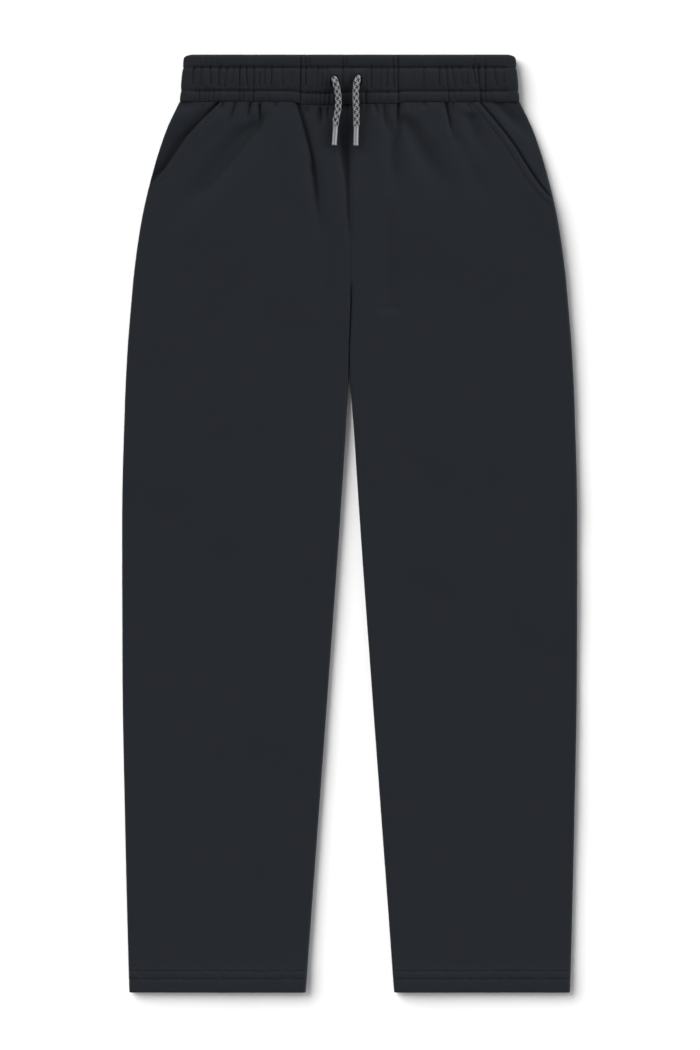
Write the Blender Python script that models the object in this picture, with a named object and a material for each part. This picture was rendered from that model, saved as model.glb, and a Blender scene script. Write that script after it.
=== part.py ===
"""Sweatpants laid out flat, front side up, built from the pieces that a maker cuts and sews.

Frame: X runs across, with the wearer's left at +X. Y runs from the hems (-Y) up to the waistband (+Y).
Z is up from the surface that the cloth lies on, and the origin is on it, below the middle of the outline.
Sizes are in metres. "Height" below means distance up the garment from the hems, along Y.
"""

import math
from collections import namedtuple

import bmesh
import bpy
from mathutils import Vector

MM = 0.001

# ---------------------------------------------------------------- driving sizes
LENGTH = 840 * MM  # hems to the top edge of the waistband
BAND_HEIGHT = 42.5 * MM  # the gathered waistband
CLOTH = 2.2 * MM  # brushed sweatshirt fleece
HEM_DEPTH = 19 * MM  # turned up once, so the wall is double there
SEAM_GAP = 0.3 * MM  # between pieces that are sewn together
EDGE_ROLL = 6 * MM  # how far in from a side seam or inseam the cloth starts to turn over
CROTCH = 629 * MM  # height of the fork

BAND_TOP_HALF = 147.5 * MM  # half the waistband's width along its top edge
BAND_FOOT_HALF = 152.4 * MM  # and along the waist seam
BAND_CORNER = 5 * MM  # radius of its two upper corners
BAND_MIDDLE = 5.1 * MM  # where its front half lies on its back half, above the ground
GATHERS = 26  # pleats that the elastic draws across the front half
GATHER_DEPTH = 0.75 * MM
BAND_FOLDS = (-43 * MM, -6 * MM, 43 * MM, 117 * MM)  # X of the folds that run through the whole front half
BAND_FOLD_REACH = 4.5 * MM
BAND_FOLD_DEPTH = 0.8 * MM

CORD_DIAMETER = 5.8 * MM
AGLET_DIAMETER = 4.5 * MM
AGLET_LENGTH = 17.5 * MM
HOLE_LENGTH = 11.4 * MM  # the hole in the waistband's face that each cord comes out of
HOLE_WIDTH = 7.6 * MM
HOLE_DEPTH = 3.9 * MM

POCKET_BOW = 1 * MM  # how far the pocket mouth bows out from a straight slant
POCKET_UNDERLAP = 12 * MM  # how far the pocket facing runs on under the front

WAIST_SEAM = LENGTH - BAND_HEIGHT
LEFT, RIGHT = 1, -1  # the wearer's left is +X
SIDE_NAMES = {LEFT: "left", RIGHT: "right"}

# ---------------------------------------------------------------- tables
# One row for each section across the body and legs, from the hems up: the side seam's distance from the
# middle, half the gap between the legs, and how high the front cloth stands above the ground.
Section = namedtuple("Section", "height side gap loft")
SECTIONS = (
    Section(0 * MM, 197.5 * MM, 39.6 * MM, 9.0 * MM),
    Section(20 * MM, 198.2 * MM, 38.1 * MM, 8.8 * MM),
    Section(34 * MM, 198.6 * MM, 37.1 * MM, 7.3 * MM),
    Section(150 * MM, 201.4 * MM, 28.6 * MM, 7.0 * MM),
    Section(290 * MM, 203.8 * MM, 18.3 * MM, 7.2 * MM),
    Section(420 * MM, 204.1 * MM, 9.0 * MM, 7.5 * MM),
    Section(530 * MM, 201.5 * MM, 1.3 * MM, 8.1 * MM),
    Section(580 * MM, 198.9 * MM, 0.6 * MM, 8.4 * MM),
    Section(629 * MM, 194.8 * MM, 0.5 * MM, 9.0 * MM),
    Section(645 * MM, 193.2 * MM, 0.15 * MM, 9.3 * MM),
    Section(690 * MM, 186.8 * MM, 0.15 * MM, 10.1 * MM),
    Section(738 * MM, 175.5 * MM, 0.15 * MM, 10.4 * MM),
    Section(772 * MM, 164.4 * MM, 0.15 * MM, 9.6 * MM),
    Section(WAIST_SEAM, BAND_FOOT_HALF, 0.15 * MM, 8.4 * MM),
)

# The centre front seam: where it lies across the body, how deep it sinks, and how far the sinking reaches.
# Below the crotch the same columns say where the slit between the legs lies.
Centre = namedtuple("Centre", "height across sink reach")
CENTRE_FRONT = (
    Centre(500 * MM, 0.2 * MM, 0.8 * MM, 6.0 * MM),
    Centre(566 * MM, -0.5 * MM, 0.8 * MM, 6.0 * MM),
    Centre(629 * MM, 1.3 * MM, 0.9 * MM, 5.0 * MM),
    Centre(675 * MM, 0.2 * MM, 1.2 * MM, 5.0 * MM),
    Centre(715 * MM, -1.2 * MM, 2.4 * MM, 8.0 * MM),
    Centre(755 * MM, -2.6 * MM, 3.6 * MM, 11.0 * MM),
    Centre(WAIST_SEAM, -1.6 * MM, 2.6 * MM, 11.0 * MM),
)

# The largest folds of the front, each a soft trough from its head at the waist to its foot: X and height of
# both ends, its depth, and half its width.
Fold = namedtuple("Fold", "head_x head_height foot_x foot_height depth half_width")
FRONT_FOLDS = (
    Fold(-44 * MM, 800 * MM, -25 * MM, 690 * MM, 4.0 * MM, 5 * MM),
    Fold(-26 * MM, 800 * MM, -24 * MM, 774 * MM, 1.8 * MM, 5 * MM),
    Fold(-80 * MM, 802 * MM, -81 * MM, 760 * MM, 2.6 * MM, 5 * MM),
    Fold(-101 * MM, 802 * MM, -109 * MM, 766 * MM, 1.4 * MM, 6 * MM),
    Fold(-84 * MM, 774 * MM, -150 * MM, 686 * MM, 2.2 * MM, 12 * MM),
    Fold(43 * MM, 802 * MM, 44 * MM, 746 * MM, 3.0 * MM, 5 * MM),
    Fold(24 * MM, 800 * MM, 27 * MM, 766 * MM, 1.6 * MM, 5 * MM),
    Fold(88 * MM, 802 * MM, 96 * MM, 762 * MM, 2.2 * MM, 5 * MM),
    Fold(50 * MM, 770 * MM, 88 * MM, 712 * MM, 1.6 * MM, 11 * MM),
)

# Each pocket mouth: its upper end on the waist seam, and the height of its foot on the side seam.
Mouth = namedtuple("Mouth", "head_x foot_height")
MOUTHS = {LEFT: Mouth(116 * MM, 707 * MM), RIGHT: Mouth(116.5 * MM, 722 * MM)}

# Rows of each leg piece: from one height to the next in so many strips.
Span = namedtuple("Span", "top foot strips")
FRONT_SPANS = (
    Span(WAIST_SEAM, 795 * MM, 1),
    Span(795 * MM, 740 * MM, 5),
    Span(740 * MM, 645 * MM, 5),
    Span(645 * MM, 613 * MM, 3),
    Span(613 * MM, 34 * MM, 8),
    Span(34 * MM, HEM_DEPTH + 1 * MM, 1),
    Span(HEM_DEPTH + 1 * MM, HEM_DEPTH - 1 * MM, 1),
    Span(HEM_DEPTH - 1 * MM, 2 * MM, 1),
    Span(2 * MM, 0, 1),
)
BACK_SPANS = (
    Span(WAIST_SEAM, 690 * MM, 4),
    Span(690 * MM, 645 * MM, 2),
    Span(645 * MM, 613 * MM, 2),
    Span(613 * MM, 34 * MM, 9),
    Span(34 * MM, HEM_DEPTH + 1 * MM, 1),
    Span(HEM_DEPTH + 1 * MM, HEM_DEPTH - 1 * MM, 1),
    Span(HEM_DEPTH - 1 * MM, 0, 1),
)
# Columns beside a seam, as shares of the roll's reach: the cloth turns over between 0 and 1.
ROLL_STEPS = (0.0, 0.12, 0.42, 1.0)
# Columns between them on each front, which run along its folds: distance from the middle at the waist seam,
# and at the height where the folds have faded.
FOLDS_FADED = 690 * MM
Line = namedtuple("Line", "head foot")
FRONT_LINES = {
    RIGHT: (
        Line(16 * MM, 9 * MM),
        Line(26 * MM, 14 * MM),
        Line(38 * MM, 19.5 * MM),
        Line(44 * MM, 25 * MM),
        Line(50 * MM, 31 * MM),
        Line(60 * MM, 46 * MM),
        Line(74 * MM, 72 * MM),
        Line(80 * MM, 88 * MM),
        Line(86.5 * MM, 104 * MM),
        Line(94 * MM, 118 * MM),
        Line(101 * MM, 132 * MM),
        Line(108 * MM, 152 * MM),
    ),
    LEFT: (
        Line(14 * MM, 12 * MM),
        Line(24 * MM, 28 * MM),
        Line(31 * MM, 35 * MM),
        Line(37 * MM, 41 * MM),
        Line(43 * MM, 47 * MM),
        Line(49 * MM, 57 * MM),
        Line(60 * MM, 74 * MM),
        Line(72 * MM, 92 * MM),
        Line(81 * MM, 106 * MM),
        Line(88 * MM, 120 * MM),
        Line(96 * MM, 136 * MM),
        Line(106 * MM, 154 * MM),
    ),
}

# The waistband's profile, from the waist seam up: distance above the seam, and how far its face stands out
# from where the two halves meet. The low rows are the two lines of stitching, which make three channels.
Channel = namedtuple("Channel", "rise stand gather")
BAND_PROFILE = (
    Channel(0.15 * MM, 3.9 * MM, 0.5),
    Channel(2.2 * MM, 4.7 * MM, 0.7),
    Channel(6.5 * MM, 4.9 * MM, 0.9),
    Channel(11.6 * MM, 3.6 * MM, 0.4),
    Channel(15.0 * MM, 5.1 * MM, 1.0),
    Channel(28.2 * MM, 5.1 * MM, 1.0),
    Channel(31.8 * MM, 3.6 * MM, 0.4),
    Channel(36.0 * MM, 4.7 * MM, 0.5),
    Channel(40.6 * MM, 3.7 * MM, 0.3),
    Channel(42.0 * MM, 2.2 * MM, 0.1),
)

# Each drawcord's line, from inside its hole down the front: X, height, and its middle above the ground.
CordPoint = namedtuple("CordPoint", "x height lift")
CORD_ROUTES = {
    RIGHT: (
        CordPoint(-14.2 * MM, 819.5 * MM, 8.8 * MM),
        CordPoint(-13.6 * MM, 817.5 * MM, 10.9 * MM),
        CordPoint(-12.9 * MM, 815.0 * MM, 12.5 * MM),
        CordPoint(-12.1 * MM, 812.2 * MM, 13.4 * MM),
        CordPoint(-11.3 * MM, 809.1 * MM, 13.7 * MM),
        CordPoint(-10.4 * MM, 803.8 * MM, 13.7 * MM),
        CordPoint(-10.0 * MM, 797.5 * MM, 13.6 * MM),
        CordPoint(-10.5 * MM, 789.0 * MM, 13.35 * MM),
        CordPoint(-12.15 * MM, 781.5 * MM, 13.1 * MM),
        CordPoint(-12.6 * MM, 775.3 * MM, 13.0 * MM),
    ),
    LEFT: (
        CordPoint(8.1 * MM, 820.4 * MM, 8.8 * MM),
        CordPoint(7.5 * MM, 818.4 * MM, 10.9 * MM),
        CordPoint(6.8 * MM, 815.9 * MM, 12.5 * MM),
        CordPoint(6.2 * MM, 813.1 * MM, 13.4 * MM),
        CordPoint(5.8 * MM, 810.0 * MM, 13.7 * MM),
        CordPoint(5.4 * MM, 804.5 * MM, 13.7 * MM),
        CordPoint(5.5 * MM, 797.5 * MM, 13.6 * MM),
        CordPoint(5.9 * MM, 789.0 * MM, 13.35 * MM),
        CordPoint(6.05 * MM, 781.5 * MM, 13.1 * MM),
        CordPoint(5.9 * MM, 775.0 * MM, 13.0 * MM),
    ),
}
AGLET_ENDS = {
    RIGHT: CordPoint(-13.8 * MM, 757.6 * MM, 12.8 * MM),
    LEFT: CordPoint(5.5 * MM, 757.4 * MM, 12.8 * MM),
}
# The middle of each cord's hole: X and height.
HOLE_PLACES = {RIGHT: (-13.6 * MM, 818.0 * MM), LEFT: (7.5 * MM, 818.9 * MM)}

# Each material: name, colour (linear red, green, blue), roughness and metallic value.
Finish = namedtuple("Finish", "name colour roughness metallic")
FLEECE = Finish("charcoal_fleece", (0.0212, 0.0242, 0.0284), 0.92, 0.0)
BAND_FLEECE = Finish("charcoal_waistband", (0.0190, 0.0215, 0.0252), 0.92, 0.0)
CORD_YARN = Finish("flecked_grey_cord", (0.260, 0.265, 0.275), 0.85, 0.0)
TIP_METAL = Finish("satin_metal", (0.420, 0.425, 0.440), 0.38, 1.0)


# ---------------------------------------------------------------- curves and interpolation
def smoothstep(low, high, value):
    share = min(1.0, max(0.0, (value - low) / (high - low)))
    return share * share * (3 - 2 * share)


def read_table(rows, column, height):
    """The named column of a table at any height, on one smooth curve through its rows."""
    heights = [row.height for row in rows]
    values = [getattr(row, column) for row in rows]
    if height <= heights[0]:
        return values[0]
    if height >= heights[-1]:
        return values[-1]
    k = max(i for i, at in enumerate(heights) if at <= height)
    step = heights[k + 1] - heights[k]
    slopes = [(b - a) / (d - c) for a, b, c, d in zip(values, values[1:], heights, heights[1:])]

    def tangent(i):
        before, after = slopes[max(i - 1, 0)], slopes[min(i, len(slopes) - 1)]
        if before * after <= 0:
            return 0.0
        return 2 * before * after / (before + after)

    t = (height - heights[k]) / step
    t2, t3 = t * t, t * t * t
    return (
        values[k] * (2 * t3 - 3 * t2 + 1)
        + values[k + 1] * (3 * t2 - 2 * t3)
        + step * tangent(k) * (t3 - 2 * t2 + t)
        + step * tangent(k + 1) * (t3 - t2)
    )


def turn_over(share):
    """How far the cloth has gone down at this share of the roll's reach: 1 at the seam, 0 at its start."""
    share = min(1.0, max(0.0, share))
    return 1.0 - math.sqrt(1.0 - (1.0 - share) ** 2)


def side_seam(height):
    return read_table(SECTIONS, "side", height)


def half_gap(height):
    return max(SEAM_GAP / 2, read_table(SECTIONS, "gap", height))


def seam_height(height):
    """Where front and back meet at a side seam, above the ground."""
    return read_table(SECTIONS, "loft", height) / 2


def leg_share(height):
    """0 above the crotch, where the two sides are sewn together, and 1 where each leg is its own tube."""
    return 1.0 - smoothstep(CROTCH - 16 * MM, CROTCH + 12 * MM, height)


def inner_edge(side, height):
    return read_table(CENTRE_FRONT, "across", height) + side * half_gap(height)


def wall_at(height):
    """The cloth's thickness: double in the turned-up hem."""
    return CLOTH * (1.0 + 0.86 * (1.0 - smoothstep(HEM_DEPTH - 1 * MM, HEM_DEPTH + 1 * MM, height)))


def fold_depth(x, height):
    """How far the folds lower the front at this place."""
    total = 0.0
    for fold in FRONT_FOLDS:
        run_x, run_y = fold.foot_x - fold.head_x, fold.foot_height - fold.head_height
        length = math.hypot(run_x, run_y)
        along = ((x - fold.head_x) * run_x + (height - fold.head_height) * run_y) / length
        off = ((x - fold.head_x) * run_y - (height - fold.head_height) * run_x) / length
        fade = smoothstep(-fold.half_width, fold.half_width, along) * (
            1.0 - smoothstep(0.45 * length, 1.1 * length, along)
        )
        total += fold.depth * fade * math.exp(-((off / fold.half_width) ** 2))
    return total


def front_face(x, height):
    """The front cloth's upper face, above the ground, before it turns over at the seams. It stays clear of
    the back."""
    sewn_down = 0.9 * MM * turn_over((WAIST_SEAM - height) / (3 * MM))
    sunk = read_table(SECTIONS, "loft", height) - fold_depth(x, height) - sewn_down
    return max(sunk, 2 * CLOTH + 0.5 * MM)


def mouth_x(side, height):
    """The pocket mouth's distance from the middle."""
    mouth = MOUTHS[side]
    share = (WAIST_SEAM - height) / (WAIST_SEAM - mouth.foot_height)
    straight = mouth.head_x + share * (side_seam(mouth.foot_height) - mouth.head_x)
    return straight + POCKET_BOW * 4 * share * (1 - share)


# ---------------------------------------------------------------- building solids
def material_for(finish):
    material = bpy.data.materials.get(finish.name) or bpy.data.materials.new(finish.name)
    material.use_nodes = True
    shader = material.node_tree.nodes["Principled BSDF"]
    shader.inputs["Base Color"].default_value = (*finish.colour, 1.0)
    shader.inputs["Roughness"].default_value = finish.roughness
    shader.inputs["Metallic"].default_value = finish.metallic
    material.diffuse_color = (*finish.colour, 1.0)
    return material


def place(name, mesh, finish):
    obj = bpy.data.objects.new(name, mesh)
    bpy.context.scene.collection.objects.link(obj)
    mesh.materials.append(material_for(finish))
    return obj


def solid_from(name, points, faces, finish, crease_degrees=50):
    """A closed mesh object from points in (x, height, z), with its faces turned outwards."""
    mesh = bpy.data.meshes.new(name)
    mesh.from_pydata([(x, h - LENGTH / 2, z) for x, h, z in points], [], faces)
    work = bmesh.new()
    work.from_mesh(mesh)
    bmesh.ops.recalc_face_normals(work, faces=work.faces)
    if work.calc_volume(signed=True) < 0:
        bmesh.ops.reverse_faces(work, faces=work.faces)
    work.to_mesh(mesh)
    work.free()
    mesh.shade_smooth()
    mesh.set_sharp_from_angle(angle=math.radians(crease_degrees))
    return place(name, mesh, finish)


def grid_faces(rows, columns, first=0):
    return [
        (first + r * columns + c, first + r * columns + c + 1,
         first + (r + 1) * columns + c + 1, first + (r + 1) * columns + c)
        for r in range(rows - 1)
        for c in range(columns - 1)
    ]


def rim_of(rows, columns):
    """The indices around a grid's border, in order."""
    top = list(range(columns))
    right = [r * columns + columns - 1 for r in range(1, rows)]
    foot = [(rows - 1) * columns + c for c in range(columns - 2, -1, -1)]
    left = [r * columns for r in range(rows - 2, 0, -1)]
    return top + right + foot + left


def cloth_wall(name, outer, inner, finish):
    """A wall of cloth between two grids of points, closed around its border."""
    rows, columns = len(outer), len(outer[0])
    count = rows * columns
    points = [p for row in outer for p in row] + [p for row in inner for p in row]
    faces = grid_faces(rows, columns) + [tuple(reversed(f)) for f in grid_faces(rows, columns, count)]
    border = rim_of(rows, columns)
    for a, b in zip(border, border[1:] + border[:1]):
        faces.append((a, a + count, b + count, b))
    return solid_from(name, points, faces, finish)


def heights_of(spans, extra=None):
    """The heights of a piece's rows, from the waist down. An extra height takes its nearest row's place."""
    found = [spans[0].top - SEAM_GAP / 2]
    for span in spans:
        for k in range(1, span.strips + 1):
            found.append(span.top + (span.foot - span.top) * k / span.strips)
    if extra is not None:
        nearest = min(range(len(found)), key=lambda i: abs(found[i] - extra))
        found[nearest] = extra
    return found


def columns_between(inner, outer, inner_reach, outer_reach, middle):
    """X of each column, close together where the cloth turns over beside a seam."""
    way = 1 if outer > inner else -1
    start = [inner + way * inner_reach * t for t in ROLL_STEPS]
    end = [outer - way * outer_reach * t for t in reversed(ROLL_STEPS)]
    between = [start[-1] + (end[0] - start[-1]) * k / (middle + 1) for k in range(1, middle + 1)]
    return start + between + end


def columns_along_folds(side, height, inner, outer, inner_reach):
    """X of each column of a front: along its folds near the waist, and evenly spaced further down."""
    lines = FRONT_LINES[side]
    even = columns_between(inner, outer, inner_reach, EDGE_ROLL, len(lines))
    down = (WAIST_SEAM - height) / (WAIST_SEAM - FOLDS_FADED)
    spread = 1.0 - smoothstep(FOLDS_FADED - 90 * MM, FOLDS_FADED, height)
    for k, line in enumerate(lines, start=len(ROLL_STEPS)):
        along = side * (line.head + (line.foot - line.head) * min(1.0, down))
        even[k] = along + (even[k] - along) * spread
    return even


# ---------------------------------------------------------------- fronts and backs
def front_point(side, x, height):
    """(outer, inner) points of a front's wall at this place."""
    wall = wall_at(height)
    leg = leg_share(height)
    face = front_face(x, height)
    seam = seam_height(height) + SEAM_GAP / 2
    sunk = face - read_table(CENTRE_FRONT, "sink", height)
    edge = sunk + (seam - sunk) * leg
    reach = read_table(CENTRE_FRONT, "reach", height)
    from_inner = abs(x - inner_edge(side, height))
    from_side = side_seam(height) - abs(x)
    inner_turn = turn_over(from_inner / reach)
    side_turn = turn_over(from_side / EDGE_ROLL)
    outer_z = face - (face - edge) * inner_turn - (face - seam) * side_turn
    inner_z = face - wall - (face - edge - leg * wall) * inner_turn - (face - seam - wall) * side_turn
    shift = leg * wall * max(0.0, 1 - from_inner / reach) - wall * max(0.0, 1 - from_side / EDGE_ROLL)
    return (x, height, outer_z), (x + side * shift, height, inner_z)


def build_front(side):
    """Half of the front, from the centre seam to the side seam, with the pocket's corner cut away."""
    mouth = MOUTHS[side]
    outer, inner = [], []
    for height in heights_of(FRONT_SPANS, mouth.foot_height):
        above_foot = height > mouth.foot_height
        edge = mouth_x(side, height) if above_foot else side_seam(height)
        reach = read_table(CENTRE_FRONT, "reach", height)
        row = [
            front_point(side, x, height)
            for x in columns_along_folds(side, height, inner_edge(side, height), side * edge, reach)
        ]
        outer.append([p for p, _ in row])
        inner.append([p for _, p in row])
    return cloth_wall(f"front_{SIDE_NAMES[side]}", outer, inner, FLEECE)


def back_point(side, x, height):
    """(outer, inner) points of a back's wall: flat on the ground, and turned up at the seams."""
    wall = wall_at(height)
    leg = leg_share(height)
    seam = seam_height(height) - SEAM_GAP / 2
    from_inner = abs(x - inner_edge(side, height))
    from_side = side_seam(height) - abs(x)
    inner_turn = turn_over(from_inner / EDGE_ROLL)
    side_turn = turn_over(from_side / EDGE_ROLL)
    outer_z = leg * seam * inner_turn + seam * side_turn
    inner_z = wall + leg * (seam - wall) * inner_turn + (seam - wall) * side_turn
    shift = leg * wall * max(0.0, 1 - from_inner / EDGE_ROLL) - wall * max(0.0, 1 - from_side / EDGE_ROLL)
    return (x, height, outer_z), (x + side * shift, height, inner_z)


def build_back(side):
    outer, inner = [], []
    for height in heights_of(BACK_SPANS):
        row = [
            back_point(side, x, height)
            for x in columns_between(
                inner_edge(side, height), side * side_seam(height), EDGE_ROLL, EDGE_ROLL, 2
            )
        ]
        outer.append([p for p, _ in row])
        inner.append([p for _, p in row])
    return cloth_wall(f"back_{SIDE_NAMES[side]}", outer, inner, FLEECE)


def build_facing(side):
    """The piece that shows inside the pocket mouth. It runs on under the front, and narrows to a tongue
    beside the mouth's foot, where the front and the side seam leave no room below them."""
    mouth = MOUTHS[side]
    heights = [h for h in heights_of(FRONT_SPANS, mouth.foot_height) if h > mouth.foot_height]
    heights.append(mouth.foot_height + 1.2 * MM)
    columns = 5
    outer, inner = [], []
    for height in heights:
        lip = mouth_x(side, height)
        under = smoothstep(mouth.foot_height + 12 * MM, mouth.foot_height + 26 * MM, height)
        start = lip + 0.4 * MM - under * (POCKET_UNDERLAP + 0.4 * MM)
        end = side_seam(height)
        seam = seam_height(height) + SEAM_GAP / 2
        narrow = 1.0 - smoothstep(12 * MM, 24 * MM, end - start)
        clear = wall_at(height) + 0.4 * MM
        clear += narrow * (seam - clear)
        outer_row, inner_row = [], []
        for c in range(columns + 1):
            across = start + (end - start) * (1 - (1 - c / columns) ** 1.6)
            x = side * across
            rise = 1.3 * MM * smoothstep(1 * MM, 9 * MM, across - lip)
            face = max(front_face(x, height) - CLOTH - 1.0 * MM + rise, seam + (0.4 + 0.8 * narrow) * MM)
            turn = turn_over((end - across) / EDGE_ROLL)
            wall = min(CLOTH, face - clear)
            shift = wall * max(0.0, 1 - (end - across) / EDGE_ROLL) * min(1.0, (end - start) / (14 * MM))
            outer_row.append((x, height, face - (face - seam) * turn))
            inner_row.append((x - side * shift, height, face - wall - (face - wall - seam) * turn))
        outer.append(outer_row)
        inner.append(inner_row)
    return cloth_wall(f"pocket_facing_{SIDE_NAMES[side]}", outer, inner, FLEECE)


# ---------------------------------------------------------------- waistband
def band_half_width(rise):
    """Half the waistband's width at this rise above the waist seam, with its upper corners rounded."""
    straight = BAND_FOOT_HALF + (BAND_TOP_HALF - BAND_FOOT_HALF) * rise / BAND_HEIGHT
    into_corner = max(0.0, rise - (BAND_HEIGHT - BAND_CORNER)) / BAND_CORNER
    return straight - BAND_CORNER * (1 - math.sqrt(1 - min(1.0, into_corner) ** 2))


def gather_columns(count):
    """Shares from -1 to 1 across the band for a pleat's ridges and hollows in turn, unevenly spaced."""
    steps = [1 + 0.40 * math.sin(1.7 * k) + 0.28 * math.sin(0.61 * k + 2.0) for k in range(2 * count)]
    whole = sum(steps)
    places, at = [-1.0], 0.0
    for step in steps:
        at += step
        places.append(-1.0 + 2.0 * at / whole)
    return places


def band_grid(count, meeting, outwards, lowest):
    """Rows of points over one half of the band. outwards is +1 for the front half and -1 for the back."""
    places = gather_columns(count)
    rows = []
    for channel in BAND_PROFILE:
        half = band_half_width(channel.rise)
        flat_half = half - EDGE_ROLL
        edge = [half - EDGE_ROLL * t for t in ROLL_STEPS[:-1]]
        across = [-x for x in edge] + [flat_half * p for p in places] + list(reversed(edge))
        row = []
        for k, x in enumerate(across):
            pleat = k - len(edge)
            deep = pleat % 2 == 1 and 0 <= pleat < len(places)
            uneven = 0.7 + 0.3 * math.sin(0.9 * pleat)
            stand = channel.stand - (2 * GATHER_DEPTH * channel.gather * uneven if deep else 0.0)
            if deep and outwards > 0 and min(abs(x - fold) for fold in BAND_FOLDS) < BAND_FOLD_REACH:
                stand -= BAND_FOLD_DEPTH
            stand *= 1.0 - turn_over((half - abs(x)) / EDGE_ROLL)
            z = meeting + outwards * stand
            row.append((x, WAIST_SEAM + channel.rise, max(lowest, z)))
        rows.append(row)
    return rows


def band_solid(name, count, meeting, outwards, lowest=0.0):
    """Half of the waistband: a gathered face over a flat one, where the other half lies on it."""
    rows = band_grid(count, meeting, outwards, lowest)
    foot = [(x, h, meeting) for x, h, _ in rows[0]]
    top_rise = BAND_HEIGHT
    half_ratio = band_half_width(top_rise) / band_half_width(BAND_PROFILE[-1].rise)
    top = [(x * half_ratio, WAIST_SEAM + top_rise, meeting) for x, _, _ in rows[-1]]
    grid = [foot, *rows, top]
    for row in grid[1:-1]:
        row[0] = (row[0][0], row[0][1], meeting)
        row[-1] = (row[-1][0], row[-1][1], meeting)
    columns = len(foot)
    points = [p for row in grid for p in row]
    faces = grid_faces(len(grid), columns)
    faces.append(tuple(rim_of(len(grid), columns)))
    return solid_from(name, points, faces, BAND_FLEECE, crease_degrees=60)


def stadium(length, width, arc_steps):
    """Points around an upright hole with round ends, about its own middle."""
    radius, straight = width / 2, (length - width) / 2
    points = []
    for end, start in ((1, 0.0), (-1, math.pi)):
        for k in range(arc_steps + 1):
            angle = start + math.pi * k / arc_steps
            points.append((radius * math.cos(angle), end * straight + radius * math.sin(angle)))
    return points


def cut_hole(band, side):
    """Cuts the cord's hole into the band's outer layers."""
    x, height = HOLE_PLACES[side]
    face = BAND_MIDDLE + SEAM_GAP / 2 + max(channel.stand for channel in BAND_PROFILE)
    top, floor = face + 3 * MM, face - HOLE_DEPTH
    ring = stadium(HOLE_LENGTH, HOLE_WIDTH, 6)
    points = [(x + a, height + b, z) for z in (floor, top) for a, b in ring]
    n = len(ring)
    faces = [tuple(range(n)), tuple(range(2 * n - 1, n - 1, -1))]
    faces += [(k, k + n, (k + 1) % n + n, (k + 1) % n) for k in range(n)]
    cutter = solid_from(f"cutter_hole_{SIDE_NAMES[side]}", points, faces, BAND_FLEECE)
    cutter.hide_render = True
    cutter.display_type = "WIRE"
    cut = band.modifiers.new(f"hole_{SIDE_NAMES[side]}", "BOOLEAN")
    cut.operation = "DIFFERENCE"
    cut.solver = "EXACT"
    cut.object = cutter


# ---------------------------------------------------------------- drawcord
def smooth_route(points, count):
    """count points along one smooth curve through the given ones."""
    vectors = [Vector((p.x, p.height - LENGTH / 2, p.lift)) for p in points]
    padded = [2 * vectors[0] - vectors[1], *vectors, 2 * vectors[-1] - vectors[-2]]
    found = []
    for k in range(count):
        at = k * (len(vectors) - 1) / (count - 1)
        i = min(int(at), len(vectors) - 2)
        t = at - i
        a, b, c, d = padded[i : i + 4]
        found.append(
            0.5 * (2 * b + (c - a) * t + (2 * a - 5 * b + 4 * c - d) * t * t + (3 * b - a - 3 * c + d) * t**3)
        )
    return found


def build_cord(side):
    """The free end of the drawcord, from inside its hole to its metal tip."""
    route = smooth_route(CORD_ROUTES[side], 19)
    name = f"drawcord_{SIDE_NAMES[side]}"
    curve = bpy.data.curves.new(name, "CURVE")
    curve.dimensions = "3D"
    spline = curve.splines.new("POLY")
    spline.points.add(len(route) - 1)
    for point, place_at in zip(spline.points, route):
        point.co = (*place_at, 1.0)
    curve.bevel_depth = CORD_DIAMETER / 2
    curve.bevel_resolution = 2
    curve.use_fill_caps = True
    curve.materials.append(material_for(CORD_YARN))
    obj = bpy.data.objects.new(name, curve)
    bpy.context.scene.collection.objects.link(obj)
    return obj


def build_aglet(side):
    """The metal tube crimped on the cord's end, with a rolled lip at its open tip."""
    last, end = CORD_ROUTES[side][-1], AGLET_ENDS[side]
    start = Vector((last.x, last.height - LENGTH / 2, last.lift))
    along = (Vector((end.x, end.height - LENGTH / 2, end.lift)) - start).normalized()
    start += along * (SEAM_GAP + 0.05 * MM)
    radius = AGLET_DIAMETER / 2
    # distance along the tube, and radius
    profile = (
        (0.0, 0.0),
        (0.0, radius),
        (AGLET_LENGTH - 2.2 * MM, radius * 0.97),
        (AGLET_LENGTH - 1.4 * MM, radius * 1.06),
        (AGLET_LENGTH - 0.5 * MM, radius * 1.04),
        (AGLET_LENGTH, radius * 0.80),
        (AGLET_LENGTH - 0.7 * MM, radius * 0.45),
        (AGLET_LENGTH - 0.7 * MM, 0.0),
    )
    turn = Vector((0, 0, 1)).rotation_difference(along)
    segments = 14
    work = bmesh.new()
    rings = []
    for distance, r in profile:
        if r == 0.0:
            rings.append([work.verts.new(start + along * distance)])
            continue
        ring = []
        for k in range(segments):
            angle = 2 * math.pi * k / segments
            spoke = Vector((r * math.cos(angle), r * math.sin(angle), distance))
            ring.append(work.verts.new(start + turn @ spoke))
        rings.append(ring)
    for a, b in zip(rings, rings[1:]):
        for k in range(segments):
            if len(a) == 1:
                work.faces.new((a[0], b[k], b[(k + 1) % segments]))
            elif len(b) == 1:
                work.faces.new((a[k], b[0], a[(k + 1) % segments]))
            else:
                work.faces.new((a[k], b[k], b[(k + 1) % segments], a[(k + 1) % segments]))
    bmesh.ops.recalc_face_normals(work, faces=work.faces)
    if work.calc_volume(signed=True) < 0:
        bmesh.ops.reverse_faces(work, faces=work.faces)
    name = f"aglet_{SIDE_NAMES[side]}"
    mesh = bpy.data.meshes.new(name)
    work.to_mesh(mesh)
    work.free()
    mesh.shade_smooth()
    mesh.set_sharp_from_angle(angle=math.radians(40))
    return place(name, mesh, TIP_METAL)


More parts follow.
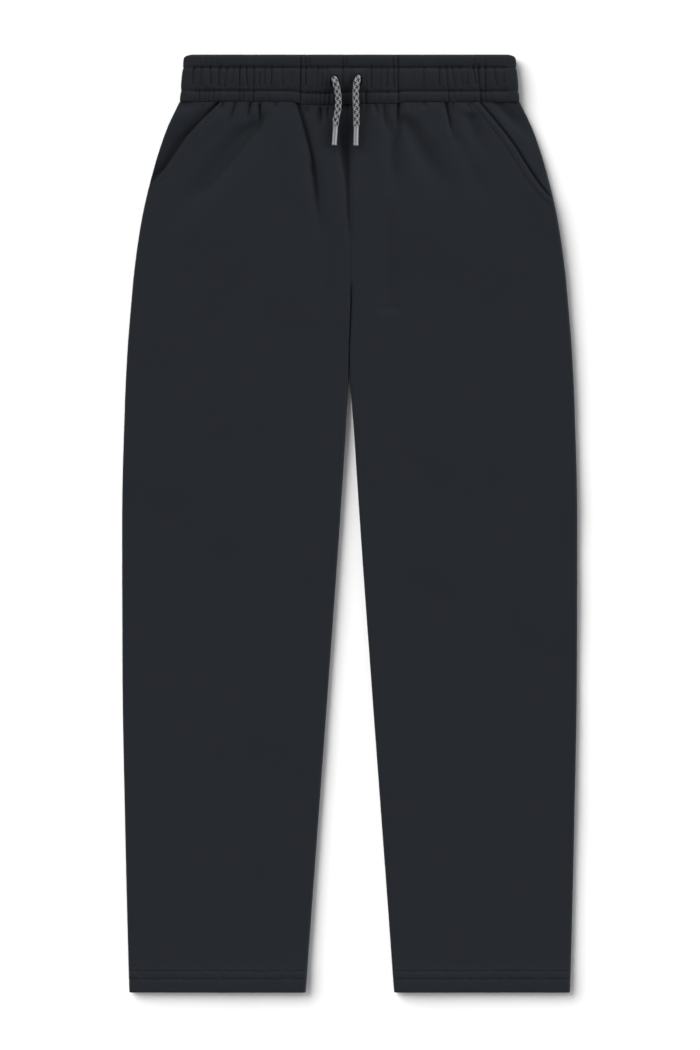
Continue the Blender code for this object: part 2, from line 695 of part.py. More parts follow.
# ---------------------------------------------------------------- the whole garment
def main():
    for obj in list(bpy.data.objects):
        bpy.data.objects.remove(obj)
    band_front = band_solid("waistband_front", GATHERS, BAND_MIDDLE + SEAM_GAP / 2, 1)
    band_solid("waistband_back", GATHERS // 2, BAND_MIDDLE - SEAM_GAP / 2, -1)
    for side in (LEFT, RIGHT):
        build_front(side)
        build_back(side)
        build_facing(side)
        cut_hole(band_front, side)
        build_cord(side)
        build_aglet(side)


main()
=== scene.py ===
"""Sweatpants laid out flat, front side up: their cloth, stitching and drawcord, on a pale floor.

X runs across to the wearer's left, Y up the garment from the hems to the waistband, Z up from the floor.
"Height" in the tables is the distance up the garment from the hems. All sizes are in metres.
"""

import math
from collections import namedtuple
from functools import partial

import bmesh
import bpy
import numpy as np
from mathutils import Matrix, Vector


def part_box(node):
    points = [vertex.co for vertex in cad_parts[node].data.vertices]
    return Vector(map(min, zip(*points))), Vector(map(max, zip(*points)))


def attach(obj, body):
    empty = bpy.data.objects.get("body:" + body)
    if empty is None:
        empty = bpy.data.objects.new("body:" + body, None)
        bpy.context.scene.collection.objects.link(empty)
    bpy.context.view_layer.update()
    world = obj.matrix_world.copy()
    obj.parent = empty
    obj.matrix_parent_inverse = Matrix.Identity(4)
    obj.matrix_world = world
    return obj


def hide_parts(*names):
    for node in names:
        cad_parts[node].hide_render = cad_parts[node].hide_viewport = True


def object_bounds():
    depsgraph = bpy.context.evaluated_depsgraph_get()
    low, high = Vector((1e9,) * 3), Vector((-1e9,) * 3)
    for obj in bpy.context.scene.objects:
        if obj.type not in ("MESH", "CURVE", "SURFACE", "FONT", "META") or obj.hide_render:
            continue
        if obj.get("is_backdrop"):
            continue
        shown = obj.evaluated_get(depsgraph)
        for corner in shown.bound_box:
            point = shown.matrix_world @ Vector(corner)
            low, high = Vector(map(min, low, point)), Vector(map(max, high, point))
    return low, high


bl_info = {
    "name": "Laid-out sweatpants",
    "version": (1, 0, 0),
    "blender": (4, 5, 0),
    "location": "3D View > Sidebar > Sweatpants",
    "description": "Builds sweatpants laid out flat, with their folds, stitching and drawcord",
    "category": "Add Mesh",
}

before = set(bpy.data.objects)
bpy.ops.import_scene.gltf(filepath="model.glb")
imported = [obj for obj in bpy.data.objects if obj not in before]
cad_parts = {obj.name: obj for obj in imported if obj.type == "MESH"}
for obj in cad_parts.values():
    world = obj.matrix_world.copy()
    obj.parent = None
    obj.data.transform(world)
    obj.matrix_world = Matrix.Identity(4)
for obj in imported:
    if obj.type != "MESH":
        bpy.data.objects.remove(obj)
CAD_LOW, CAD_HIGH = (tuple(corner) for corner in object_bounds())

MM = 0.001
BODY = "root"
LEFT, RIGHT = 1, -1  # the wearer's left is at +X
SIDE_NAMES = {LEFT: "left", RIGHT: "right"}

# ---------------------------------------------------------------- sizes shared with the solids
SEAM_GAP = 0.3 * MM  # the air between two edges that are sewn together
LENGTH = CAD_HIGH[1] - CAD_LOW[1]
BAND_HEIGHT = LENGTH - (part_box("front_left")[1].y - CAD_LOW[1]) - SEAM_GAP / 2
WAIST_SEAM = LENGTH - BAND_HEIGHT
CLOTH_TOP = WAIST_SEAM - SEAM_GAP / 2
HEM_DEPTH = 19 * MM
HEM_ROWS = (11.8 * MM, 18.9 * MM)
CROTCH = 629 * MM
BAND_TOP_HALF = 147.9 * MM
BAND_FOOT_HALF = 152.6 * MM
BAND_CORNER = 5 * MM
BAND_MIDDLE = 5.1 * MM  # above the floor
BAND_WALL = 5 * MM  # from the last column of its flat faces out to its folded end
POCKET_UNDERLAP = 12 * MM
WAIST_DIP = 0.25 * MM  # how far cloth goes down where it is sewn to the band
WAIST_DIP_REACH = 1.6 * MM
FOOT_ROLL = 1.6 * MM  # how far up the hem's folded edge turns over
HEM_PULL_TOP = 40 * MM  # above this the hem's stitching pulls on nothing
SMOOTH_BELOW = 610 * MM  # below this the front has no creases
AGLET_DIAMETER = 4.5 * MM
HOLE_LENGTH = 9.6 * MM
HOLE_WIDTH = 6.8 * MM
HOLE_DEPTH = 4.6 * MM


def in_metres(kind, plain, *rows):
    """Rows of a table written in millimetres. The last columns, as many as plain, are plain numbers."""
    last = len(kind._fields) - plain
    return tuple(kind(*(MM * v for v in row[:last]), *row[last:]) for row in rows)


# Sections across the body and legs: the side seam's distance from the middle, half the gap between the
# legs, and how high the front cloth stands above the floor.
Section = namedtuple("Section", "height side gap loft")
SECTIONS = in_metres(
    Section, 0,
    (0, 197.5, 39.6, 8.8), (18, 198.1, 38.2, 8.6), (24, 198.3, 37.8, 7.7), (34, 198.6, 37.1, 7.3),
    (150, 201.4, 28.6, 7.0), (290, 203.8, 18.3, 7.2), (420, 204.1, 9.0, 7.5), (530, 201.5, 1.9, 8.1),
    (556, 200.3, 0.2, 8.25), (580, 198.9, 0.1, 8.4), (629, 194.8, 0.08, 9.0), (640, 193.8, 0.03, 9.2),
    (690, 186.8, 0.03, 10.1), (738, 175.5, 0.03, 10.4), (772, 164.4, 0.03, 9.6),
    (WAIST_SEAM / MM, BAND_FOOT_HALF / MM, 0.03, 8.4),
)

# The centre front seam, and below the crotch the slit between the legs: where it lies across the body, how
# far the wearer's right front sinks there and how far out the sinking starts, and the same for the left.
Centre = namedtuple("Centre", "height across right_sink right_reach left_sink left_reach")
CENTRE_FRONT = in_metres(
    Centre, 0,
    (500, 0.2, 0.8, 5.0, 0.8, 5.0), (566, -0.5, 0.8, 5.0, 0.8, 5.0), (606, 0.9, 1.6, 4.0, 1.6, 4.0),
    (620, 1.3, 3.2, 3.6, 3.2, 3.6), (633, 1.2, 0.7, 3.2, 0.7, 3.2), (644, 1.0, 0.1, 3.5, 0.1, 3.5),
    (668, 0.4, 0.2, 3.0, 0.2, 3.0), (682, 0.0, 1.3, 4.2, 1.3, 4.0), (696, -0.7, 2.2, 4.8, 2.2, 4.2),
    (714, -1.2, 3.0, 5.4, 3.0, 4.6), (732, -1.8, 4.3, 6.6, 4.3, 5.4), (741, -2.2, 5.0, 8.2, 5.0, 6.0),
    (752, -2.6, 5.6, 10.0, 5.6, 6.2), (769, -2.4, 5.2, 12.0, 5.0, 8.0),
    (WAIST_SEAM / MM, -1.6, 3.3, 12.0, 3.0, 12.0),
)

# Each pocket mouth, from its foot on the side seam up to its upper end on the waist seam.
MouthPoint = namedtuple("MouthPoint", "height x")
MOUTHS = {
    LEFT: in_metres(
        MouthPoint, 0,
        (706.5, 184.6), (713, 178.2), (721, 171.2), (729, 165.4), (743, 156.3), (757.6, 147.2),
        (772, 136.6), (786, 125.2), (WAIST_SEAM / MM, 115.6),
    ),
    RIGHT: in_metres(
        MouthPoint, 0,
        (721.5, 180.4), (726, 175.2), (731, 170.2), (739, 164.0), (747, 158.4), (756, 152.6),
        (766.5, 145.0), (777, 136.0), (788, 124.9), (WAIST_SEAM / MM, 115.4),
    ),
}
MOUTH_FOOT = {side: rows[0].height for side, rows in MOUTHS.items()}
MOUTH_SLANT = 0.8  # turns a distance straight across into the distance from a mouth's slanting edge
MOUTH_PUFF = {LEFT: 0.55 * MM, RIGHT: 0.15 * MM}  # how far the turned edge stands proud
TOPSTITCH_IN = 6.6 * MM
TOPSTITCH_SINK = {LEFT: 0.7 * MM, RIGHT: 0.4 * MM}
# A facing lies this far below the front's inside at the lip. It rises by this much within this reach of
# the lip, and falls by this much again at the side seam.
FACING_SINK = {LEFT: 0.7 * MM, RIGHT: 4.3 * MM}
FACING_RISE = {LEFT: 1.5 * MM, RIGHT: 4.9 * MM}
FACING_REACH = {LEFT: 3.5 * MM, RIGHT: 20 * MM}
FACING_FALL = {LEFT: 3.0 * MM, RIGHT: 0.0}

# How far the waist seam hangs below its ends, across the front.
Droop = namedtuple("Droop", "x drop")
WAIST_DROOP = in_metres(
    Droop, 0,
    (-160, -0.3), (-53, -0.3), (-46, 1.2), (-40, 2.7), (-16, 2.9), (-8, 2.2), (6, 1.5), (38, 1.6),
    (43, 1.1), (49, 0.2), (100, 0.1), (160, 0),
)

# ---------------------------------------------------------------- folds
# Soft creases of the front: X and height of the head and the foot, how far the line bows sideways between
# them, depth, half width, and lean, which makes the flank towards +X the wider one.
Fold = namedtuple("Fold", "head_x head_height foot_x foot_height bow depth half_width lean")
FRONT_FOLDS = in_metres(
    Fold, 1,
    (-46.3, 798, -26.8, 690, 4.2, 6.4, 2.7, 0), (-34.5, 742, -26.0, 676, 0.6, 3.2, 4.4, 0),
    (-26.4, 795, -24.8, 777, 0, 3.2, 1.9, 0), (-80.5, 796, -80.0, 768, 0, 3.8, 2.3, 0),
    (-89.3, 797, -93.6, 778, 0.8, 3.2, 2.4, 0), (-102.5, 797, -110.0, 770, 0, 2.8, 2.6, 0),
    (-113.0, 797, -117.0, 788, 0, 1.8, 2.0, 0), (-66.0, 797, -67.0, 789, 0, 1.4, 2.0, 0),
    (-38.5, 795, -37.5, 787, 0, 1.4, 1.7, 0), (-19.0, 795, -18.4, 785, 0, 1.2, 1.8, 0),
    (43.6, 798, 43.2, 752, 0, 4.8, 2.5, 0), (31.2, 796, 31.6, 770, 0, 2.6, 2.5, 0),
    (24.0, 796, 24.5, 786, 0, 1.4, 1.8, 0), (86.0, 798, 94.5, 760, 0, 4.2, 2.5, 0),
    (92.6, 797, 92.6, 784, 0, 1.8, 1.7, 0), (66.0, 797, 66.5, 791, 0, 1.0, 1.8, 0),
    (106.0, 797, 108.0, 787, 0, 1.2, 1.8, 0),
)
# Broad swells and dips that fan out from the gathered waist.
BROAD_FOLDS = in_metres(
    Fold, 1,
    (-83, 780, -155, 682, -4, 5.6, 9.0, 0), (-90, 772, -150, 690, -4, 2.6, 17, 0),
    (-60, 756, -70, 650, -2, 1.5, 10, 0), (-117, 776, -168, 716, 0, 1.0, 8, 0.2),
    (38, 778, 40, 704, 1, 4.2, 6.5, 0), (50, 782, 84, 712, 2, 4.6, 9, 0),
    (108, 786, 119, 744, 0, 3.4, 7, 0), (98, 764, 124, 700, 0, 1.4, 8, 0),
    (33, 700, 36, 560, 0, 1.8, 8, 0), (-26, 690, -22, 600, 0, 1.0, 9, 0),
)
FACING_FOLDS = in_metres(
    Fold, 1,
    (131, 799, 162, 764, -2, 2.6, 4.5, 0.3), (-131, 795, -137, 780, 0, 1.2, 3.0, 0.1),
)
BACK_FOLDS = in_metres(
    Fold, 1,
    (-118, 801, -128, 760, 0, 0.9, 3.0, 0), (-92, 801, -97, 772, 0, 0.8, 2.5, 0),
    (-70, 801, -72, 752, 1, 1.1, 3.2, 0.1), (-41, 801, -43, 776, 0, 0.8, 2.4, 0),
    (-20, 801, -17, 762, 0, 1.0, 2.8, 0), (12, 801, 12, 770, 0, 0.9, 2.6, 0),
    (33, 801, 38, 744, 0, 1.1, 3.4, -0.1), (61, 801, 63, 778, 0, 0.8, 2.4, 0),
    (84, 801, 92, 756, 0, 1.0, 3.0, 0), (113, 801, 120, 768, 0, 0.8, 2.8, 0),
)

# How far the waistband's face stands out from its middle, at rises above the waist seam. Its two rows of
# stitching draw it in between three puffed channels.
Stand = namedtuple("Stand", "rise stand")
BAND_FACE = in_metres(
    Stand, 0,
    (0.3, 2.5), (1, 3.0), (2, 3.5), (3, 3.85), (4, 4.05), (6, 4.15), (8, 3.95), (9.6, 3.6),
    (11, 3.85), (13, 4.45), (15, 5.0), (17, 5.4), (19, 5.65), (21, 5.78), (24, 5.85), (27, 5.75),
    (30.4, 5.0), (32, 5.35), (33.5, 5.65), (35.5, 5.95), (37.5, 6.1), (39, 6.1), (39.8, 5.95), (40.4, 5.6),
)
STITCH_ROWS = (9.6 * MM, 30.4 * MM)
STITCH_SINK = 1.35 * MM
STITCH_SINK_REACH = 1.1 * MM
END_STAND = 5.2 * MM  # how far the band's folded ends stand out, of which its channels change a share
END_CHANNEL_SHARE = 0.3
END_SQUARE = 0.6  # below 1 because the ends are pressed flat
FRONT_COLUMNS, BACK_COLUMNS, END_COLUMNS = 680, 260, 26

# Pleats of the waistband's front: X at its middle, how far it runs sideways from its foot to its top, the
# rises of foot and top, depth and half width.
Pleat = namedtuple("Pleat", "x run foot top depth half_width")
THROUGH_PLEATS = in_metres(
    Pleat, 0,
    (-43.8, 0.8, -3, 44, 1.9, 0.8), (-39.2, 0.4, 14, 44, 1.6, 0.8), (-35.6, 0.4, 30, 44, 1.0, 0.7),
    (-6.1, 0.2, 14, 44, 1.5, 0.8), (-3.2, 0, 30, 44, 1.0, 0.6), (43.6, -0.5, -3, 44, 1.8, 0.8),
    (39.0, -0.6, 12, 44, 1.2, 0.8), (116.4, -2.5, -3, 34, 1.8, 1.0), (121.6, -0.6, -3, 34, 1.6, 0.9),
)
MIDDLE_PLEATS = in_metres(
    Pleat, 0,
    (-140.0, 1.5, 14, 33, 1.3, 0.9), (-132.7, 0.5, 12, 33, 1.2, 1.0), (-124.5, -0.6, 14, 33, 1.5, 0.9),
    (-117.0, 1.2, 12, 33, 1.5, 1.2), (-110.8, 3.0, 12, 33, 1.3, 1.0), (-104.6, 2.6, 14, 31, 0.8, 1.0),
    (-98.4, 0.6, 12, 33, 1.5, 0.8), (-92.0, -1.0, 12, 33, 1.4, 0.9), (-85.8, 0.3, 12, 33, 1.5, 0.9),
    (-80.6, 1.4, 13, 26, 0.9, 0.8), (-76.0, 0, 13, 33, 0.8, 0.9), (-69.8, 0.2, 13, 33, 1.3, 0.7),
    (-60.2, -1.0, 12, 32, 0.9, 1.1), (-52.6, 0.4, 13, 30, 0.5, 1.3), (-34.0, 0.4, 16, 32, 0.7, 0.8),
    (-28.8, 0.6, 13, 33, 1.2, 0.9), (-24.4, 0, 13, 31, 0.9, 0.8), (-20.0, -0.5, 14, 33, 0.9, 0.9),
    (1.6, 0, 14, 33, 0.7, 0.9), (19.2, 0.1, 12, 33, 1.4, 0.7), (23.4, 0.2, 14, 32, 0.8, 0.8),
    (28.2, 1.2, 13, 33, 1.0, 0.9), (33.6, 0.6, 13, 31, 0.9, 0.9), (53.8, 0, 15, 31, 0.4, 1.3),
    (66.4, 0.1, 13, 32, 1.1, 0.7), (80.6, -0.6, 12, 33, 1.2, 0.8), (87.2, -1.4, 12, 33, 1.2, 0.9),
    (92.8, -3.4, 12, 33, 1.3, 0.9), (99.0, -2.6, 14, 33, 1.0, 1.1), (105.5, 2.5, 14, 30, 0.9, 1.1),
    (111.5, -3.0, 14, 34, 1.2, 0.8), (130.4, -2.8, 13, 32, 0.9, 0.9), (137.6, -1.0, 15, 31, 0.6, 1.2),
)
LOWER_PLEATS = in_metres(
    Pleat, 0,
    (-134.6, 0, -2, 12, 1.0, 0.8), (-130.0, 0, 1, 12, 1.0, 0.8), (-126.2, 0, -2, 12, 1.0, 0.8),
    (-121.8, 0, 0, 12, 1.1, 0.8), (-117.4, 0.5, -2, 12, 0.9, 0.8), (-108.4, 0, 3, 12, 0.6, 0.9),
    (-99.0, 0, -2, 12, 1.1, 0.8), (-95.0, 0, 0, 12, 0.9, 0.8), (-91.6, 0, 1, 12, 0.6, 0.8),
    (-86.2, 0.2, -4, 13, 1.6, 0.8), (-72.4, 0, -2, 7, 0.7, 0.9), (-37.6, 0, -2, 12, 0.9, 0.7),
    (-33.6, 0, -2, 12, 1.0, 0.7), (-29.6, 0, -2, 12, 1.0, 0.7), (-25.6, 0, -2, 12, 1.0, 0.7),
    (-21.5, 0, -2, 12, 0.9, 0.7), (-17.5, 0, -2, 12, 0.9, 0.7), (14.0, 0, -2, 12, 1.0, 0.9),
    (25.6, 0, 0, 12, 0.5, 0.9), (34.0, 0, 1, 12, 0.7, 0.8), (88.6, -0.3, -3, 13, 1.3, 0.8),
    (93.0, -1.6, 1, 12, 0.8, 0.9), (98.8, 1.4, 3, 12, 0.7, 0.9), (118.6, 0, -2, 12, 1.1, 0.7),
    (125.6, 0, -2, 11, 0.9, 0.8),
)
UPPER_PLEATS = in_metres(
    Pleat, 0,
    (-139.6, 0, 33, 43, 0.6, 0.8), (-133.8, 0, 33, 42, 0.6, 0.7), (-128.8, 0, 32, 43, 0.7, 0.7),
    (-124.2, 0, 33, 44, 0.6, 0.7), (-118.8, 0, 32, 43, 0.7, 0.7), (-110.0, 0, 33, 41, 0.5, 0.8),
    (-85.0, 0, 32, 40, 0.3, 0.9), (-66.0, 0, 32, 40, 0.3, 0.9), (111.0, 0, 32, 44, 0.9, 0.7),
    (121.0, 0, 32, 40, 0.6, 0.8),
)
BAND_PLEATS = THROUGH_PLEATS + MIDDLE_PLEATS + LOWER_PLEATS + UPPER_PLEATS

# Where finer pleats lie between those: from one X to another, at this pitch, over these rises.
FinePleats = namedtuple("FinePleats", "low_x high_x pitch foot top depth")
FINE_PLEATS = in_metres(
    FinePleats, 0,
    (-146, -44, 3.6, 12, 33, 0.55), (-36, 42, 3.4, 12, 33, 0.5), (46, 78, 5.5, 13, 33, 0.3),
    (78, 146, 3.8, 12, 33, 0.55), (-144, -78, 4.2, -1, 13, 0.45), (-70, 84, 7.0, -1, 13, 0.2),
    (84, 144, 4.6, -1, 13, 0.45), (-144, 144, 6.5, 33, 43, 0.2),
)
BACK_PLEATS = in_metres(
    FinePleats, 0,
    (-146, 146, 4.2, 12, 33, 0.9), (-146, 146, 4.2, -1, 13, 0.9), (-146, 146, 4.2, 33, 43, 0.9),
)

# ---------------------------------------------------------------- drawcord
# Each free end's line, from inside its hole down the front: X, height, and its middle above the floor.
CordPoint = namedtuple("CordPoint", "x height lift")
CORD_ROUTES = {
    RIGHT: in_metres(
        CordPoint, 0,
        (-14.2, 819.5, 8.8), (-13.6, 817.5, 10.9), (-12.9, 815.0, 12.5), (-12.1, 812.2, 13.4),
        (-11.3, 809.1, 13.7), (-10.4, 803.8, 13.7), (-10.0, 797.5, 13.6), (-10.5, 789.0, 13.35),
        (-12.15, 781.5, 13.1), (-12.6, 775.3, 13.0),
    ),
    LEFT: in_metres(
        CordPoint, 0,
        (8.1, 820.4, 8.8), (7.5, 818.4, 10.9), (6.8, 815.9, 12.5), (6.2, 813.1, 13.4),
        (5.8, 810.0, 13.7), (5.4, 804.5, 13.7), (5.5, 797.5, 13.6), (5.9, 789.0, 13.35),
        (6.05, 781.5, 13.1), (5.9, 775.0, 13.0),
    ),
}
AGLET_ENDS = {
    RIGHT: CordPoint(-13.8 * MM, 757.6 * MM, 12.8 * MM),
    LEFT: CordPoint(5.5 * MM, 757.4 * MM, 12.8 * MM),
}
HOLE_PLACES = {RIGHT: (-13.4 * MM, 816.3 * MM), LEFT: (7.3 * MM, 817.2 * MM)}
CORD_BULGE = 1.3 * MM  # how far the cord lifts the cloth over it
CORD_TAPER, CORD_TAPER_REACH = 1.2 * MM, 6 * MM  # its end is squeezed thinner inside the hole
CORD_POINTS, CORD_SEGMENTS, TIP_SEGMENTS = 380, 112, 56
# A metal tip's outline, from inside its upper end round to the bottom of its hollow end: millimetres along
# the tube, share of its radius, and 1 inside the hollow end, whose faces take a near-black painted shade.
TIP_OUTLINE = (
    (0.35, 0.0, 0), (0.05, 0.86, 0), (0.0, 0.95, 0), (0.2, 1.02, 0), (0.5, 1.04, 0), (0.8, 1.0, 0),
    (4.0, 1.0, 0), (8.0, 0.995, 0), (12.0, 0.99, 0), (14.6, 0.985, 0), (15.2, 0.97, 0), (15.7, 0.98, 0),
    (16.1, 1.04, 0), (16.6, 1.07, 0), (17.0, 1.04, 0), (17.3, 0.94, 0), (17.48, 0.80, 0), (17.5, 0.66, 0),
    (17.35, 0.54, 0), (16.9, 0.46, 1), (16.2, 0.42, 1), (16.0, 0.0, 1),
)

# ---------------------------------------------------------------- stage
FLOOR_HALF = 3.0
FLOOR_DROP = 0.05 * MM  # keeps the floor clear of the cloth that lies on it
# Each light, whose height and softness it takes, and where it comes from, in degrees round from +X.
LIGHTS = (
    ("floor_light", "floor", 140), ("left_light", "side", 150), ("right_light", "side", 10),
    ("top_light", "side", 90),
)
LIGHT_COLOUR = (1.0, 0.995, 0.985)
# The light from all round by the direction it comes from, from level up to straight overhead.
SKY_STOPS = ((0.25, (2.2, 2.2, 2.22)), (0.95, (0.15, 0.152, 0.156)))
LENS, SENSOR_WIDTH = 100.0, 36.0
VIEW_MIDDLE = (0.3 * MM, -1.3 * MM)


# ---------------------------------------------------------------- curves and relief
def smoothstep(low, high, value):
    """0 at low and 1 at high, with a soft start and end."""
    share = np.clip((value - low) / (high - low), 0.0, 1.0)
    return share * share * (3 - 2 * share)


def turn_over(share):
    """How far cloth has gone down at this share of its roll: 1 at the edge, 0 where the roll starts."""
    share = np.clip(share, 0.0, 1.0)
    return 1.0 - np.sqrt(1.0 - (1.0 - share) ** 2)


def ridge(off, half_width, power=2):
    """1 in the middle of a ridge or groove, falling away at this half width to either side."""
    return np.exp(-((np.abs(off) / half_width) ** power))


def pairs(first, second):
    """Two grids of numbers as one grid of pairs."""
    return np.stack(np.broadcast_arrays(first, second), -1)


class Smooth:
    """A table's column as a function of its first, on one smooth curve through the rows."""

    def __init__(self, rows, column):
        places = np.array([row[0] for row in rows])
        values = np.array([getattr(row, column) for row in rows])
        steps = np.diff(places)
        slopes = np.diff(values) / steps
        tangents = np.zeros(len(values))
        tangents[0], tangents[-1] = slopes[0], slopes[-1]
        product = slopes[:-1] * slopes[1:]
        total = slopes[:-1] + slopes[1:]
        tangents[1:-1] = np.where(product > 0, 2 * product / np.where(total == 0, 1, total), 0)
        self.at = np.linspace(places[0], places[-1], 2400)
        k = np.clip(np.searchsorted(places, self.at, side="right") - 1, 0, len(steps) - 1)
        t = (self.at - places[k]) / steps[k]
        self.found = (
            values[k] * (2 * t**3 - 3 * t**2 + 1)
            + values[k + 1] * (3 * t**2 - 2 * t**3)
            + steps[k] * tangents[k] * (t**3 - 2 * t**2 + t)
            + steps[k] * tangents[k + 1] * (t**3 - t**2)
        )

    def __call__(self, place):
        return np.interp(place, self.at, self.found)


side_seam = Smooth(SECTIONS, "side")
leg_gap = Smooth(SECTIONS, "gap")
loft = Smooth(SECTIONS, "loft")
centre_across = Smooth(CENTRE_FRONT, "across")
CENTRE_SINK = {RIGHT: Smooth(CENTRE_FRONT, "right_sink"), LEFT: Smooth(CENTRE_FRONT, "left_sink")}
CENTRE_REACH = {RIGHT: Smooth(CENTRE_FRONT, "right_reach"), LEFT: Smooth(CENTRE_FRONT, "left_reach")}
waist_droop = Smooth(WAIST_DROOP, "drop")
mouth_line = {side: Smooth(rows, "x") for side, rows in MOUTHS.items()}


class Swell:
    """Gentle unevenness of laid cloth: a sum of long waves in all directions."""

    def __init__(self, seed, count, shortest, longest):
        draw = np.random.default_rng(seed)
        length = np.exp(draw.uniform(math.log(shortest), math.log(longest), count))
        angle = draw.uniform(0, math.tau, count)
        self.across = np.cos(angle) / length * math.tau
        self.along = np.sin(angle) / length * math.tau
        self.phase = draw.uniform(0, math.tau, count)
        self.weight = (length / longest) ** 0.7
        self.weight /= math.sqrt((self.weight**2).sum() / 2)

    def __call__(self, x, height):
        total = np.zeros(np.broadcast(x, height).shape)
        for across, along, phase, weight in zip(self.across, self.along, self.phase, self.weight):
            total += weight * np.sin(across * x + along * height + phase)
        return total


LONG_SWELL = Swell(11, 26, 45 * MM, 190 * MM)
FINE_SWELL = Swell(23, 40, 9 * MM, 34 * MM)
HEM_SWELL = Swell(31, 24, 5 * MM, 12 * MM)
BACK_SWELL = Swell(47, 26, 40 * MM, 160 * MM)


def fold_relief(folds, x, height, crisp=1.5):
    """How far folds sink the cloth's face."""
    relief = np.zeros(np.broadcast(x, height).shape)
    for fold in folds:
        drop = fold.head_height - fold.foot_height
        down = (fold.head_height - height) / drop
        run = fold.foot_x - fold.head_x
        middle = fold.head_x + run * down + fold.bow * 4 * down * (1 - down)
        off = (x - middle) * drop / math.hypot(run, drop)
        spread = 0.85 + 0.45 * np.clip(down, 0, 1)
        width = fold.half_width * spread * np.where(off > 0, 1 + fold.lean, 1 - fold.lean)
        fade = smoothstep(-0.12, 0.1, down) * (1 - smoothstep(0.35, 1.12, down))
        relief -= fold.depth * fade * ridge(off, width, crisp)
    return relief


def small_puckers(seed, low_x, high_x, count):
    """Short creases where cloth is gathered into the waist seam."""
    draw = np.random.default_rng(seed)
    found = []
    for k in range(count):
        x = low_x + (high_x - low_x) * (k + draw.uniform(0.1, 0.9)) / count
        long = draw.uniform(5, 17) * MM
        depth = draw.uniform(0.2, 0.8) * MM
        half_width = draw.uniform(0.9, 1.8) * MM
        foot_x = x * draw.uniform(1.0, 1.03)
        found.append(
            Fold(x, WAIST_SEAM + 2 * MM, foot_x, WAIST_SEAM + 2 * MM - long, 0, depth, half_width, 0)
        )
    return tuple(found)


FRONT_PUCKERS = small_puckers(5, -118 * MM, 118 * MM, 46)
BACK_PUCKERS = small_puckers(9, -140 * MM, 140 * MM, 40)


def leg_share(height):
    """0 above the crotch, where the two sides are sewn together, and 1 where each leg is its own tube."""
    return 1.0 - smoothstep(CROTCH - 14 * MM, CROTCH + 10 * MM, height)


def inner_edge(side, height):
    """X of the centre front seam, or of a leg's inner edge."""
    return centre_across(height) + side * leg_gap(height)


def mouth_x(side, height):
    """The pocket mouth's distance from the middle."""
    return mouth_line[side](height)


def drooped(x, height):
    """Heights near the waist, lowered with the waist seam."""
    near = smoothstep(WAIST_SEAM - 70 * MM, WAIST_SEAM, height)
    return height - near * waist_droop(x)


def hem_relief(x, height):
    """The hem's two rows of stitching, which pull the cloth down, and the small puckers around them."""
    relief = np.zeros(np.broadcast(x, height).shape)
    for row in HEM_ROWS:
        relief -= 0.9 * MM * ridge(height - row, 1 * MM, 1.5)
    near = ridge(height - sum(HEM_ROWS) / 2, 9 * MM)
    return relief + near * 0.12 * MM * HEM_SWELL(x, height)


def waist_dip(height):
    """How far the cloth goes down towards the seam that sews it to the band."""
    return WAIST_DIP * turn_over((WAIST_SEAM - height) / WAIST_DIP_REACH)


# ---------------------------------------------------------------- settings
def length_setting(name, description, default, low, high):
    """A length, given here in millimetres."""
    return bpy.props.FloatProperty(
        name=name, description=description, default=default * MM, min=low * MM, max=high * MM,
        subtype="DISTANCE", unit="LENGTH",
    )


def angle_setting(name, description, default, high):
    """An angle, given here in degrees."""
    return bpy.props.FloatProperty(
        name=name, description=description, default=math.radians(default), min=0, max=math.radians(high),
        subtype="ANGLE", unit="ROTATION",
    )


def strength_setting(name, description, default, high, subtype="NONE"):
    """A plain number from 0 up."""
    return bpy.props.FloatProperty(
        name=name, description=description, default=default, min=0, max=high, subtype=subtype
    )


def colour_setting(name, description, default):
    """A colour, as shares of red, green and blue light."""
    return bpy.props.FloatVectorProperty(
        name=name, description=description, default=default, size=3, min=0, max=1, subtype="COLOR"
    )


class ClothSettings(bpy.types.PropertyGroup):
    """Sizes and colours of the cloth."""

    thickness: length_setting("Cloth", "Thickness of the fleece", 2.2, 1, 4)
    edge_roll: length_setting("Edge roll", "How far in from a seam cloth starts to turn over", 2.6, 2, 10)
    fold_strength: strength_setting("Folds", "Depth of the folds, as a share of their own", 1, 2, "FACTOR")
    swell: length_setting("Swell", "Height of the laid cloth's gentle unevenness", 0.22, 0, 2)
    colour: colour_setting("Fleece", "Colour of the fleece", (0.0165, 0.0190, 0.0233))
    band_colour: colour_setting("Waistband", "Colour of the waistband", (0.0157, 0.0179, 0.0219))
    grain: length_setting("Knit", "Width of one column of knitted stitches", 0.9, 0.3, 3)


class StitchSettings(bpy.types.PropertyGroup):
    """Sizes and colour of the sewing thread's stitches."""

    pitch: length_setting("Pitch", "From one stitch to the next", 3.2, 1, 8)
    length: length_setting("Length", "Length of one stitch", 2.6, 0.5, 6)
    thread: length_setting("Thread", "Thickness of the thread", 0.55, 0.1, 2)
    colour: colour_setting("Colour", "Colour of the thread", (0.0115, 0.0127, 0.0154))


class CordSettings(bpy.types.PropertyGroup):
    """Sizes and colours of the drawcord."""

    diameter: length_setting("Diameter", "Thickness of the cord", 5.8, 2, 12)
    strands: bpy.props.IntProperty(
        name="Strands", description="Strands that run each way round the braid", default=12, min=4, max=16,
    )
    turn: length_setting("Turn", "Length in which a strand goes once round the cord", 19, 8, 60)
    relief: length_setting("Relief", "How far a strand stands out of the braid", 0.5, 0, 1)
    light: colour_setting("Light yarn", "Colour of the light half of the strands", (0.35, 0.35, 0.36))
    dark: colour_setting("Dark yarn", "Colour of the dark half, the flecks", (0.012, 0.012, 0.015))
    metal: colour_setting("Metal", "Colour of the metal tips", (0.30, 0.30, 0.31))


